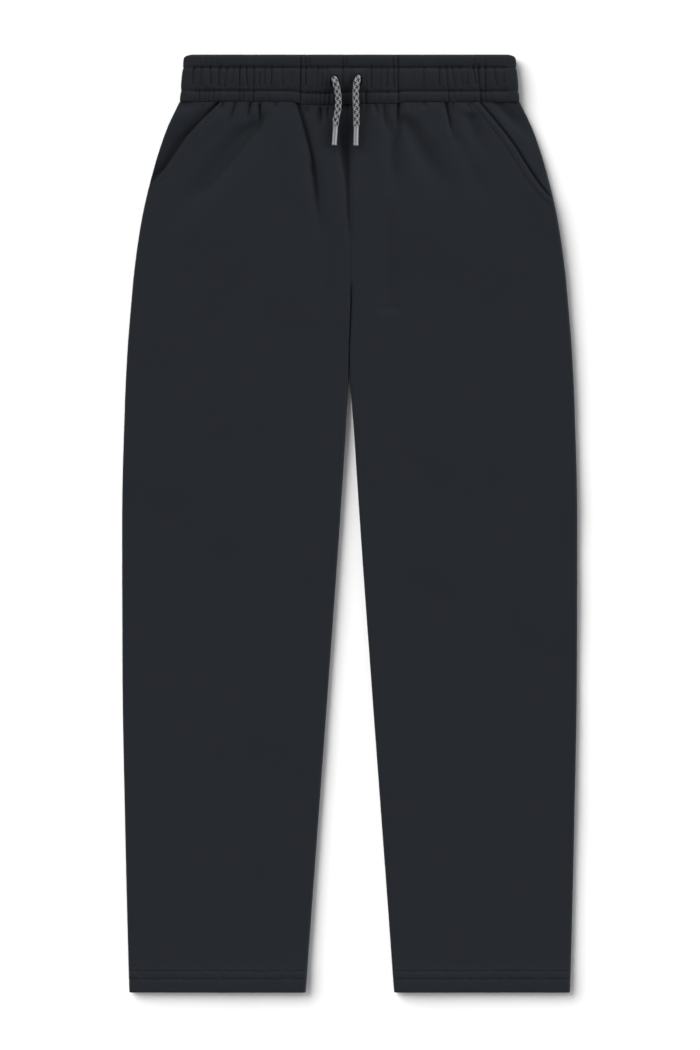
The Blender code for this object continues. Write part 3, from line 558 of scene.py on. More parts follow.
class StageSettings(bpy.types.PropertyGroup):
    """The floor, the light and the camera."""

    floor_colour: colour_setting("Floor", "Colour of the floor", (0.92, 0.92, 0.92))
    floor_light: strength_setting("Floor light", "Strength of the light that only the floor takes", 5.6, 50)
    left_light: strength_setting("Left light", "Strength of the light from the upper left", 1.75, 50)
    right_light: strength_setting("Right light", "Strength of the light from the right", 2.25, 50)
    top_light: strength_setting("Top light", "Strength of the light from the waist end", 0.85, 50)
    floor_height: angle_setting("Floor light height", "Elevation of the floor's light", 27, 90)
    floor_softness: angle_setting("Floor light softness", "Width of the floor's light", 58, 180)
    side_height: angle_setting("Cloth lights' height", "Elevation of the lights on the cloth", 24, 90)
    side_softness: angle_setting("Cloth lights' softness", "Width of the lights on the cloth", 40, 180)
    sky_strength: strength_setting("Fill", "Strength of the light from all round", 0.46, 5)
    view_height: length_setting("View height", "Length of floor that the view takes in", 939.6, 100, 5000)


# ---------------------------------------------------------------- node trees
def fill(tree, socket, value):
    """Gives a socket its value, or links it to the node that makes it."""
    if isinstance(value, Number):
        value = value.socket
    if isinstance(value, bpy.types.NodeSocket):
        tree.links.new(value, socket)
    else:
        socket.default_value = value


def add_node(tree, kind, settings=None, inputs=None):
    """A node of this kind, with its settings made before its sockets are filled."""
    made = tree.nodes.new(kind)
    for name, value in (settings or {}).items():
        if name == "stops":
            for stop, (at, colour) in zip(made.color_ramp.elements, value):
                stop.position, stop.color = at, (*colour, 1.0)
        else:
            setattr(made, name, value)
    for name, value in (inputs or {}).items():
        fill(tree, made.inputs[name], value)
    return made


class Number:
    """A number in a shader tree that can stand in a Python expression."""

    def __init__(self, shader, socket):
        self.shader, self.socket = shader, socket

    def combine(self, operation, first, second=None):
        inputs = [first] if second is None else [first, second]
        return self.shader.number("ShaderNodeMath", {"operation": operation}, dict(enumerate(inputs)))

    def __add__(self, other):
        return self.combine("ADD", self, other)

    def __sub__(self, other):
        return self.combine("SUBTRACT", self, other)

    def __rsub__(self, other):
        return self.combine("SUBTRACT", other, self)

    def __mul__(self, other):
        return self.combine("MULTIPLY", self, other)

    def __truediv__(self, other):
        return self.combine("DIVIDE", self, other)

    __radd__ = __add__
    __rmul__ = __mul__

    def wave(self):
        """The sine of the number, in turns."""
        return self.combine("SINE", self * math.tau)

    def cycle(self):
        """What is left of the number past the last whole one."""
        return self.combine("FRACT", self)

    def size(self):
        return self.combine("ABSOLUTE", self)

    def clamped(self):
        return self.shader.number("ShaderNodeClamp", None, {"Value": self, "Min": 0.0, "Max": 1.0})


SOCKET_NAMES = {"specular_level": "Specular IOR Level"}  # the other sockets go by the words of their keys


class Shader:
    """A material's node tree, with a Principled shader in it."""

    def __init__(self, name):
        self.material = bpy.data.materials.new(name)
        self.material.use_nodes = True
        self.tree = self.material.node_tree
        self.principled = self.tree.nodes["Principled BSDF"]
        self.node = partial(add_node, self.tree)

    def number(self, kind, settings=None, inputs=None, output=0):
        return Number(self, self.node(kind, settings, inputs).outputs[output])

    def place(self, name):
        """The piece's own map of its surface, as two numbers in millimetres across and along it."""
        found = self.node("ShaderNodeUVMap", {"uv_map": name}).outputs["UV"]
        parts = self.node("ShaderNodeSeparateXYZ", None, {"Vector": found})
        return Number(self, parts.outputs["X"]) * (1 / MM), Number(self, parts.outputs["Y"]) * (1 / MM)

    def spot(self):
        """The place in the piece's own frame."""
        return self.node("ShaderNodeTexCoord").outputs["Object"]

    def point(self, x, y):
        return self.node("ShaderNodeCombineXYZ", None, {"X": x, "Y": y, "Z": 0.0}).outputs["Vector"]

    def noise(self, vector, scale, detail, roughness):
        """Noise between about 0 and 1."""
        return self.number(
            "ShaderNodeTexNoise",
            {"noise_dimensions": "3D"},
            {"Vector": vector, "Scale": scale, "Detail": detail, "Roughness": roughness},
        )

    def mix(self, share, first, second):
        """A colour between two."""
        made = self.node("ShaderNodeMix", {"data_type": "RGBA", "blend_type": "MIX"}, {"Factor": share})
        for socket, colour in ((made.inputs[6], first), (made.inputs[7], second)):
            fill(self.tree, socket, colour if isinstance(colour, bpy.types.NodeSocket) else (*colour, 1.0))
        return made.outputs[2]

    def finish(self, colour, bump=None, bump_depth=0.1 * MM, strength=1.0, **values):
        """Fills the Principled shader. A bump is a height from 0 to 1, and its depth is in metres."""
        plain = not isinstance(colour, bpy.types.NodeSocket)
        values["base_color"] = (*colour, 1.0) if plain else colour
        if bump is not None:
            heights = {"Height": bump, "Distance": bump_depth, "Strength": strength}
            values["normal"] = self.node("ShaderNodeBump", None, heights).outputs["Normal"]
        for name, value in values.items():
            socket = self.principled.inputs[SOCKET_NAMES.get(name, name.replace("_", " ").title())]
            fill(self.tree, socket, value)
        return self.material


def material_once(name, build, *values):
    """The material of this name, built from these values when it is first asked for."""
    return bpy.data.materials.get(name) or build(name, *values)


def shaded(colour, share):
    """The colour made darker or lighter by this factor."""
    return tuple(share * c for c in colour)


def fleece_material(name, colour, grain):
    """Sweatshirt fleece: columns of small knitted V's, softened by nap, with faint unevenness of dye."""
    shader = Shader(name)
    across, along = shader.place("cloth")
    column = across / (grain / MM)
    course = along / (0.78 * grain / MM)
    off_middle = (column.cycle() - 0.5).size()
    vees = (course + off_middle * 1.1).wave() * 0.5 + 0.5
    ribs = 1.0 - (off_middle * 4 - 1.0) * (off_middle * 4 - 1.0)
    knit = ribs * 0.62 + vees * 0.38
    spot = shader.point(across, along)
    nap = shader.noise(spot, 1.9, 3.0, 0.62)
    cloud = shader.noise(spot, 0.021, 3.0, 0.55)
    heather = shader.noise(shader.point(across, along * 0.55), 0.95, 2.0, 0.6)
    shade = 0.80 + cloud * 0.16 + heather * 0.14 + nap * 0.10
    return shader.finish(
        colour=shader.mix((shade - 0.55).clamped(), shaded(colour, 0.78), shaded(colour, 1.22)),
        bump=knit * 0.55 + nap * 0.45, bump_depth=0.12 * MM, strength=0.75,
        roughness=0.86 + heather * 0.1, sheen_weight=0.03, sheen_roughness=0.5, specular_level=0.06,
    )


def thread_material(name, colour):
    """Sewing thread, a little uneven along its twist."""
    shader = Shader(name)
    twist = shader.noise(shader.spot(), 5200.0, 2.0, 0.5)
    tint = shader.mix(twist.clamped(), shaded(colour, 0.7), shaded(colour, 1.5))
    return shader.finish(tint, roughness=0.55 + twist * 0.2, specular_level=0.4)


def yarn_material(name, light, dark):
    """The drawcord's yarn: light and dark strands by the braid's flecks, each of fine filaments."""
    shader = Shader(name)
    across, along = shader.place("cord")
    fleck = shader.number("ShaderNodeAttribute", {"attribute_name": "fleck"}, output="Fac")
    fibre = shader.noise(shader.point(across * 2.4, along), 2.6, 2.0, 0.6)
    patch = shader.noise(shader.point(across, along), 0.55, 2.0, 0.5)
    share = ((fleck - 0.4) * 3.0 + (patch - 0.5) * 0.8).clamped()
    yarn = shader.mix((fibre * 0.9).clamped(), shaded(light, 0.72), light)
    return shader.finish(
        colour=shader.mix(share, yarn, dark), bump=fibre, bump_depth=0.09 * MM, strength=0.6,
        roughness=0.72 + fibre * 0.15, sheen_weight=0.12, specular_level=0.3,
    )


def metal_material(name, colour):
    """Rolled metal with the fine lines of drawing along the tube."""
    shader = Shader(name)
    drawn = {"Vector": shader.spot(), "Scale": (2600.0, 160.0, 2600.0)}
    stretched = shader.node("ShaderNodeMapping", {"vector_type": "POINT"}, drawn).outputs["Vector"]
    lines = shader.noise(stretched, 1.0, 2.0, 0.6)
    return shader.finish(
        colour=shader.mix(lines.clamped(), shaded(colour, 0.86), colour),
        bump=lines, bump_depth=0.03 * MM, strength=0.5, roughness=0.58 + lines * 0.12, metallic=1.0,
    )


def painted_shade_material(name):
    """Painted shade: a near-black colour for the faces inside a metal tip's open end, where shade falls."""
    shader = Shader(name)
    speck = shader.noise(shader.spot(), 3000.0, 1.0, 0.5)
    return shader.finish((0.012, 0.012, 0.013), roughness=0.7 + speck * 0.2)


def floor_material(name, colour):
    """Plain matt floor with the faintest grain."""
    shader = Shader(name)
    grain = shader.noise(shader.spot(), 900.0, 2.0, 0.5)
    tint = shader.mix(grain.clamped(), shaded(colour, 0.995), colour)
    return shader.finish(tint, roughness=0.9 + grain * 0.05, specular_level=0.0)


# ---------------------------------------------------------------- meshes
def grid_quads(rows, columns, first=0, close_rows=False, close_columns=False):
    """Faces of a grid of vertices, as an array of four indices each."""
    r = np.arange(rows if close_rows else rows - 1)
    c = np.arange(columns if close_columns else columns - 1)
    r, c = np.meshgrid(r, c, indexing="ij")
    up, over = (r + 1) % rows, (c + 1) % columns
    quads = np.stack([r * columns + c, r * columns + over, up * columns + over, up * columns + c], -1)
    return first + quads.reshape(-1, 4)


def put(name, data):
    """A new object of the scene that holds this data."""
    obj = bpy.data.objects.new(name, data)
    bpy.context.scene.collection.objects.link(obj)
    return obj


def object_from(name, points, faces, materials, uv=None, uv_name="cloth", sharp=math.radians(75)):
    """A smooth mesh object with its faces turned outwards. uv holds one pair for each vertex."""
    mesh = bpy.data.meshes.new(name)
    mesh.from_pydata(points.reshape(-1, 3).tolist(), [], faces)
    if uv is not None:
        layer = mesh.uv_layers.new(name=uv_name)
        corners = np.zeros(len(mesh.loops), np.int32)
        mesh.loops.foreach_get("vertex_index", corners)
        layer.data.foreach_set("uv", uv.reshape(-1, 2)[corners].astype(np.float32).ravel())
    work = bmesh.new()
    work.from_mesh(mesh)
    bmesh.ops.recalc_face_normals(work, faces=work.faces)
    if work.calc_volume(signed=True) < 0:
        bmesh.ops.reverse_faces(work, faces=work.faces)
    work.to_mesh(mesh)
    work.free()
    mesh.shade_smooth()
    mesh.set_sharp_from_angle(angle=sharp)
    for material in materials:
        mesh.materials.append(material)
    return put(name, mesh)


def rim_of(rows, columns):
    """The border of a grid of points, once round from its first corner."""
    top = np.arange(columns)
    right = np.arange(1, rows) * columns + columns - 1
    foot = (rows - 1) * columns + np.arange(columns - 2, -1, -1)
    left = np.arange(rows - 2, 0, -1) * columns
    return np.concatenate([top, right, foot, left])


INNER_SKIP = 3  # the inside of a cloth wall has one point for each three of its face, both ways


def cloth_wall(name, outer, inner, uv, material):
    """A wall of cloth between its face and its inside, closed around its border."""
    inner = inner[::INNER_SKIP, ::INNER_SKIP]
    inner_uv = uv[::INNER_SKIP, ::INNER_SKIP]
    rows, columns, _ = outer.shape
    count = rows * columns
    border = rim_of(rows, columns).tolist()
    inner_border = (rim_of(*inner.shape[:2]) + count).tolist()
    rim = []
    for k, near in enumerate(inner_border):
        far = inner_border[(k + 1) % len(inner_border)]
        edge = [border[(k * INNER_SKIP + step) % len(border)] for step in range(INNER_SKIP + 1)]
        rim.append([*edge, far, near])
    quads = grid_quads(rows, columns).tolist()
    quads += grid_quads(*inner.shape[:2], count)[:, ::-1].tolist()
    points = np.concatenate([outer.reshape(-1, 3), inner.reshape(-1, 3)])
    both = np.concatenate([uv.reshape(-1, 2), inner_uv.reshape(-1, 2)])
    return object_from(name, points, quads + rim, [material], both)


def place_points(x, height, z):
    """Points of the frame from distances across, up the garment and above the floor."""
    x, height, z = np.broadcast_arrays(x, height, z)
    return np.stack([x, height + CAD_LOW[1], z], -1)


def spaced_rows(spans):
    """Heights from the first span's top down: each span is (top, foot, spacing)."""
    found = [np.array([spans[0][0]])]
    for top, foot, spacing in spans:
        count = max(1, round((top - foot) / spacing))
        found.append(top + (foot - top) * np.arange(1, count + 1) / count)
    rows = np.concatenate(found)
    while (len(rows) - 1) % INNER_SKIP:
        widest = np.argmax(-np.diff(rows))
        rows = np.insert(rows, widest + 1, (rows[widest] + rows[widest + 1]) / 2)
    return rows


EDGE_STEPS = np.array([0, 0.05, 0.16, 0.34, 0.6, 0.95, 1.4, 2.0, 2.7, 3.5, 4.4, 5.4]) * MM


def spaced_columns(inner, outer, spacing, widest):
    """X of each column of each row, close together beside both edges. All rows have as many columns."""
    way = np.sign(outer - inner)[:, None]
    width = np.abs(outer - inner)[:, None]
    shrink = np.minimum(1.0, 0.35 * width / EDGE_STEPS[-1])
    start = inner[:, None] + way * EDGE_STEPS * shrink
    end = outer[:, None] - way * EDGE_STEPS[::-1] * shrink
    count = max(2, round(widest / spacing))
    count += -(2 * len(EDGE_STEPS) + count - 2) % INNER_SKIP
    share = (np.arange(1, count) / count)[None, :]
    between = start[:, -1:] + (end[:, :1] - start[:, -1:]) * share
    return np.concatenate([start, between, end], axis=1)


def set_in(thick, leg, from_inner, from_side, edge_roll):
    """How far a wall's inside lies out to the side from its face, where its two edges turn over."""
    inner_edge_share = np.clip(1 - from_inner / edge_roll, 0, 1)
    side_edge_share = np.clip(1 - from_side / edge_roll, 0, 1)
    return leg * thick * inner_edge_share - thick * side_edge_share


def wall_thickness(height, cloth):
    """The cloth's thickness: double in the turned-up hem."""
    return cloth * (1.0 + 0.86 * (1.0 - smoothstep(HEM_DEPTH - 1 * MM, HEM_DEPTH + 1.4 * MM, height)))


# ---------------------------------------------------------------- the front's face
class FrontCloth:
    """The form of the front's upper face, for all the pieces that lie on or under it."""

    def __init__(self, settings):
        self.cloth = settings.thickness
        self.edge_roll = settings.edge_roll
        self.strength = settings.fold_strength
        self.swell = settings.swell

    def face(self, x, height):
        """Above the floor, before the cloth turns over at its seams."""
        z = loft(height) + self.swell * LONG_SWELL(x, height)
        near_waist = smoothstep(WAIST_SEAM - 150 * MM, WAIST_SEAM - 20 * MM, height)
        z = z + near_waist * 0.08 * MM * FINE_SWELL(x, height)
        upper = np.broadcast_to(height > SMOOTH_BELOW, z.shape)
        if upper.any():
            x_up = np.broadcast_to(x, z.shape)[upper]
            height_up = np.broadcast_to(height, z.shape)[upper]
            relief = fold_relief(FRONT_FOLDS, x_up, height_up)
            relief += fold_relief(BROAD_FOLDS, x_up, height_up, crisp=2.0)
            top = height_up > WAIST_SEAM - 30 * MM
            relief[top] += fold_relief(FRONT_PUCKERS, x_up[top], height_up[top])
            z[upper] += self.strength * relief
        z = z - waist_dip(height)
        z = z + np.where(height < HEM_PULL_TOP, hem_relief(x, height), 0)
        lowest = 2 * self.cloth + 0.15 * MM
        soft = 0.25 * MM
        return lowest + soft * np.logaddexp(0, (z - lowest) / soft)

    def wall(self, side, x, height):
        """The heights of the front's wall outside and inside, and how far its inside lies to the side."""
        thick = wall_thickness(height, self.cloth)
        leg = leg_share(height)
        face = self.face(x, height)
        seam = loft(height) / 2 + SEAM_GAP / 2
        from_inner = np.abs(x - inner_edge(side, height))
        from_side = side_seam(height) - np.abs(x)
        # Above the crotch the two fronts meet in a seam, which is sunk and has a narrow groove along it.
        in_body = (1 - leg) * 0.1 * MM * turn_over(from_inner / (0.5 * MM))
        sunk = face - CENTRE_SINK[side](height) * (1 - 0.6 * leg) - in_body
        reach = CENTRE_REACH[side](height)
        floor_share = 0.05 + 0.25 * smoothstep(WAIST_SEAM - 75 * MM, WAIST_SEAM - 55 * MM, height)
        near_centre = 1 - smoothstep(floor_share, 1.0, from_inner / reach)
        inner_turn = near_centre + (turn_over(from_inner / self.edge_roll) - near_centre) * leg
        # In the leg the edge turns over to the height where front and back meet, as the side edge does.
        edge = sunk + (seam - sunk) * leg
        side_turn = turn_over(from_side / self.edge_roll)
        outer = face - (face - edge) * inner_turn - (face - seam) * side_turn - in_body * (1 - leg)
        inner = face - thick - (face - edge - leg * thick) * inner_turn - (face - seam - thick) * side_turn
        foot = turn_over(height / FOOT_ROLL)
        outer = outer - 1.1 * MM * foot
        inner = inner + 0.7 * MM * foot
        inner = np.maximum(inner, np.minimum(seam, self.cloth + 0.3 * MM))
        return outer, inner, set_in(thick, leg, from_inner, from_side, self.edge_roll)

    def mouth_relief(self, side, x, height):
        """The pocket mouth's turned edge: puffed beside the topstitching, and rounded down at the lip."""
        from_lip = (mouth_x(side, height) - np.abs(x)) * MOUTH_SLANT
        foot = MOUTH_FOOT[side]
        above_foot = smoothstep(foot - 3 * MM, foot + 5 * MM, height)
        puff = MOUTH_PUFF[side] * ridge(from_lip - 2.9 * MM, 2.6 * MM)
        groove = TOPSTITCH_SINK[side] * ridge(from_lip - TOPSTITCH_IN, 0.8 * MM, 1.5)
        lip = 0.8 * MM * turn_over(from_lip / (1.1 * MM))
        return above_foot * (puff - groove - lip)


# ---------------------------------------------------------------- operators
def adopt(piece, slot_name, *nodes):
    """Fixes a finished piece to the body and hides the CAD parts that it stands for."""
    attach(piece, BODY)
    if nodes:
        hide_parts(*nodes)
    return piece


def sided(name, side):
    """The name with its side, as the CAD nodes have it."""
    return f"{name}_{SIDE_NAMES[side]}"


def panel(context, name, node, side, x, height, outer_z, inner_z, shift):
    """A panel of fleece between its face and its inside, which lies out to the side by shift."""
    cloth = context.scene.sweatpants_cloth
    down = drooped(x, height)
    outer = place_points(x, down, outer_z)
    inner = place_points(x + side * shift, down, inner_z)
    fleece = material_once("charcoal_fleece", fleece_material, tuple(cloth.colour), cloth.grain)
    piece = cloth_wall(sided(name, side), outer, inner, pairs(x, height), fleece)
    return adopt(piece, "fleece", sided(node, side))


class SWEATPANTS_OT_fronts(bpy.types.Operator):
    """Make both fronts, with their folds, hems and pocket mouths"""

    bl_idname = "sweatpants.fronts"
    bl_label = "Fronts"

    def execute(self, context):
        form = FrontCloth(context.scene.sweatpants_cloth)
        for side in (LEFT, RIGHT):
            foot = MOUTH_FOOT[side]
            rows = spaced_rows((
                (CLOTH_TOP, WAIST_SEAM - 6 * MM, 0.6 * MM),
                (WAIST_SEAM - 6 * MM, WAIST_SEAM - 50 * MM, 0.9 * MM),
                (WAIST_SEAM - 50 * MM, foot, 1.2 * MM),
                (foot, SMOOTH_BELOW, 1.8 * MM),
                (SMOOTH_BELOW, 30 * MM, 7 * MM),
                (30 * MM, 4 * MM, 0.7 * MM),
                (4 * MM, 0, 0.4 * MM),
            ))
            height = rows[:, None]
            edge = np.where(rows > foot, mouth_x(side, rows), side_seam(rows))
            x = spaced_columns(inner_edge(side, rows), side * edge, 0.85 * MM, 175 * MM)
            outer_z, inner_z, shift = form.wall(side, x, height)
            outer_z = outer_z + form.mouth_relief(side, x, height)
            piece = panel(context, "front_cloth", "front", side, x, height, outer_z, inner_z, shift)
        return {"FINISHED"}


class SWEATPANTS_OT_backs(bpy.types.Operator):
    """Make both backs, flat on the floor"""

    bl_idname = "sweatpants.backs"
    bl_label = "Backs"

    def execute(self, context):
        settings = context.scene.sweatpants_cloth
        for side in (LEFT, RIGHT):
            rows = spaced_rows((
                (CLOTH_TOP, WAIST_SEAM - 60 * MM, 1.2 * MM),
                (WAIST_SEAM - 60 * MM, SMOOTH_BELOW, 3 * MM),
                (SMOOTH_BELOW, 30 * MM, 9 * MM),
                (30 * MM, 4 * MM, 0.9 * MM),
                (4 * MM, 0, 0.5 * MM),
            ))
            height = rows[:, None]
            x = spaced_columns(inner_edge(side, rows), side * side_seam(rows), 1.6 * MM, 190 * MM)
            thick = wall_thickness(height, settings.thickness)
            leg = leg_share(height)
            seam = loft(height) / 2 - SEAM_GAP / 2
            from_inner = np.abs(x - inner_edge(side, height))
            from_side = side_seam(height) - np.abs(x)
            inner_turn = turn_over(from_inner / settings.edge_roll)
            side_turn = turn_over(from_side / settings.edge_roll)
            # The underside lies on the floor, so its relief only lifts off it.
            dent = -settings.fold_strength * fold_relief(BACK_FOLDS + BACK_PUCKERS, x, height)
            dent = dent - np.where(height < HEM_PULL_TOP, hem_relief(x, height), 0)
            dent = dent + waist_dip(height)
            dent = dent + (1 - leg) * 0.8 * MM * turn_over(from_inner / (2.2 * MM))
            dent = np.clip(dent + 0.10 * MM * np.maximum(0, BACK_SWELL(x, height)), 0, 1.6 * MM)
            flat = (1 - inner_turn * leg) * (1 - side_turn)
            foot = turn_over(height / FOOT_ROLL)
            outer_z = leg * seam * inner_turn + seam * side_turn + dent * flat + 1 * MM * foot * flat
            inner_z = thick + leg * (seam - thick) * inner_turn + (seam - thick) * side_turn
            shift = set_in(thick, leg, from_inner, from_side, settings.edge_roll)
            piece = panel(context, "back_cloth", "back", side, x, height, outer_z, inner_z, shift)
        return {"FINISHED"}


class SWEATPANTS_OT_pocket_facings(bpy.types.Operator):
    """Make the facings that show inside the pocket mouths"""

    bl_idname = "sweatpants.pocket_facings"
    bl_label = "Pocket facings"

    def execute(self, context):
        settings = context.scene.sweatpants_cloth
        for side in (LEFT, RIGHT):
            foot = MOUTH_FOOT[side]
            rows = spaced_rows(((CLOTH_TOP, foot + 1.2 * MM, 0.9 * MM),))
            height = rows[:, None]
            lip, end = mouth_x(side, height), side_seam(height)
            under = smoothstep(foot + 12 * MM, foot + 26 * MM, height)
            start = lip + 0.25 * MM - under * (POCKET_UNDERLAP + 0.25 * MM)
            columns = 25 * INNER_SKIP
            share = 1 - (1 - np.arange(columns + 1)[None, :] / columns) ** 1.5
            across = start + (end - start) * share
            x = side * across
            seam = loft(height) / 2 + SEAM_GAP / 2
            # 1 towards the foot, where the facing is too narrow for more than its two edges.
            narrow = 1.0 - smoothstep(2 * MM, 11 * MM, end - start)
            clear = settings.thickness + 0.3 * MM
            clear = clear + narrow * (seam - clear)
            past_lip = (across - lip) * MOUTH_SLANT
            below_waist = WAIST_SEAM - height
            rise = FACING_RISE[side] * smoothstep(0, FACING_REACH[side], past_lip)
            outwards = np.clip(past_lip / np.maximum(end - lip, 4 * MM), 0, 1)
            rise = rise - FACING_FALL[side] * outwards**2
            # At the waist seam the facing is sewn up to the height of the front.
            sewn_up = 1.0 - smoothstep(2 * MM, 16 * MM, below_waist)
            sink = FACING_SINK[side] * (0.4 + 0.6 * smoothstep(4 * MM, 40 * MM, below_waist))
            rise = rise + (sink + 1.2 * MM - rise) * sewn_up * smoothstep(0, 7 * MM, past_lip)
            dips = fold_relief(FACING_FOLDS, x, height, crisp=2.0) * smoothstep(1 * MM, 7 * MM, past_lip)
            face = loft(height) - waist_dip(height) - settings.thickness - sink + rise + dips
            low = settings.thickness + 1.8 * MM
            face = np.maximum(face, low + (seam + 0.4 * MM - low) * narrow)
            turn = turn_over((end - across) / settings.edge_roll)
            thick = np.minimum(settings.thickness, face - clear)
            shift = thick * np.clip(1 - (end - across) / settings.edge_roll, 0, 1)
            shift = -shift * np.minimum(1.0, (end - start) / (14 * MM))
            outer_z = face - (face - seam) * turn
            inner_z = face - thick - (face - thick - seam) * turn
            form = (x, height, outer_z, inner_z, shift)
            piece = panel(context, "facing_cloth", "pocket_facing", side, *form)
        return {"FINISHED"}


# ---------------------------------------------------------------- waistband
def band_half_width(rise):
    """Half the waistband's width at this rise above the waist seam, with its upper corners rounded."""
    straight = BAND_FOOT_HALF + (BAND_TOP_HALF - BAND_FOOT_HALF) * rise / BAND_HEIGHT
    into_corner = np.clip((rise - (BAND_HEIGHT - BAND_CORNER)) / BAND_CORNER, 0, 1)
    return straight - BAND_CORNER * (1 - np.sqrt(1 - into_corner**2)) * 0.8


band_face = Smooth(BAND_FACE, "stand")


def channel_stand(rise):
    """How far the band's face stands out, with the rows of stitching sunk between its channels."""
    sunk = sum(ridge(rise - row, STITCH_SINK_REACH, 1.5) for row in STITCH_ROWS)
    return band_face(rise) - STITCH_SINK * sunk


def pleat_relief(pleats, x, rise):
    """Grooves between pleats."""
    relief = np.zeros(np.broadcast(x, rise).shape)
    for pleat in pleats:
        share = (rise - pleat.foot) / (pleat.top - pleat.foot)
        middle = pleat.x + pleat.run * (share - 0.5)
        off, width = x - middle, 1.25 * pleat.half_width
        window = smoothstep(-0.04, 0.14, share) * (1 - smoothstep(0.86, 1.04, share))
        relief -= pleat.depth * window * np.where(np.abs(off) / width < 6, ridge(off, width, 1.4), 0)
    return relief


def random_pleats(seed, low_x, high_x, pitch, foot, top, depth):
    """Fine pleats between the large ones, at uneven places."""
    draw = np.random.default_rng(seed)
    found, x = [], low_x
    while x < high_x:
        run = draw.uniform(-1.6, 1.6) * MM
        low, high = foot + draw.uniform(-2, 4) * MM, top - draw.uniform(-2, 5) * MM
        share, half_width = draw.uniform(0.3, 1.0), draw.uniform(0.7, 1.3) * MM
        found.append(Pleat(x, run, low, high, depth * share, half_width))
        x += pitch * draw.uniform(0.5, 1.5)
    return tuple(found)


def filled(spans, seed):
    """The fine pleats of all these spans, each with its own seed."""
    return tuple(pleat for k, span in enumerate(spans) for pleat in random_pleats(seed + k, *span))


def hole_share(x, rise):
    """1 inside the holes that the cord comes out of, falling to 0 just outside them."""
    share = np.zeros(np.broadcast(x, rise).shape)
    for hole_x, hole_height in HOLE_PLACES.values():
        straight = (HOLE_LENGTH - HOLE_WIDTH) / 2
        off_end = np.maximum(np.abs(rise - (hole_height - WAIST_SEAM)) - straight, 0)
        off = np.hypot(x - hole_x, off_end) - HOLE_WIDTH / 2
        share = np.maximum(share, 1 - smoothstep(-0.5 * MM, 0.3 * MM, off))
    return share


def cord_bulge(x, rise):
    """How far the cord inside the middle channel lifts the cloth above each hole."""
    lift = np.zeros(np.broadcast(x, rise).shape)
    for hole_x, hole_height in HOLE_PLACES.values():
        up = rise - (hole_height + HOLE_LENGTH / 2 - WAIST_SEAM)
        lift += CORD_BULGE * np.exp(-(((x - hole_x) / (4.2 * MM)) ** 2) - ((up - 1 * MM) / (3.6 * MM)) ** 2)
    return lift


BandRow = namedtuple("BandRow", "rise stand end_stand")


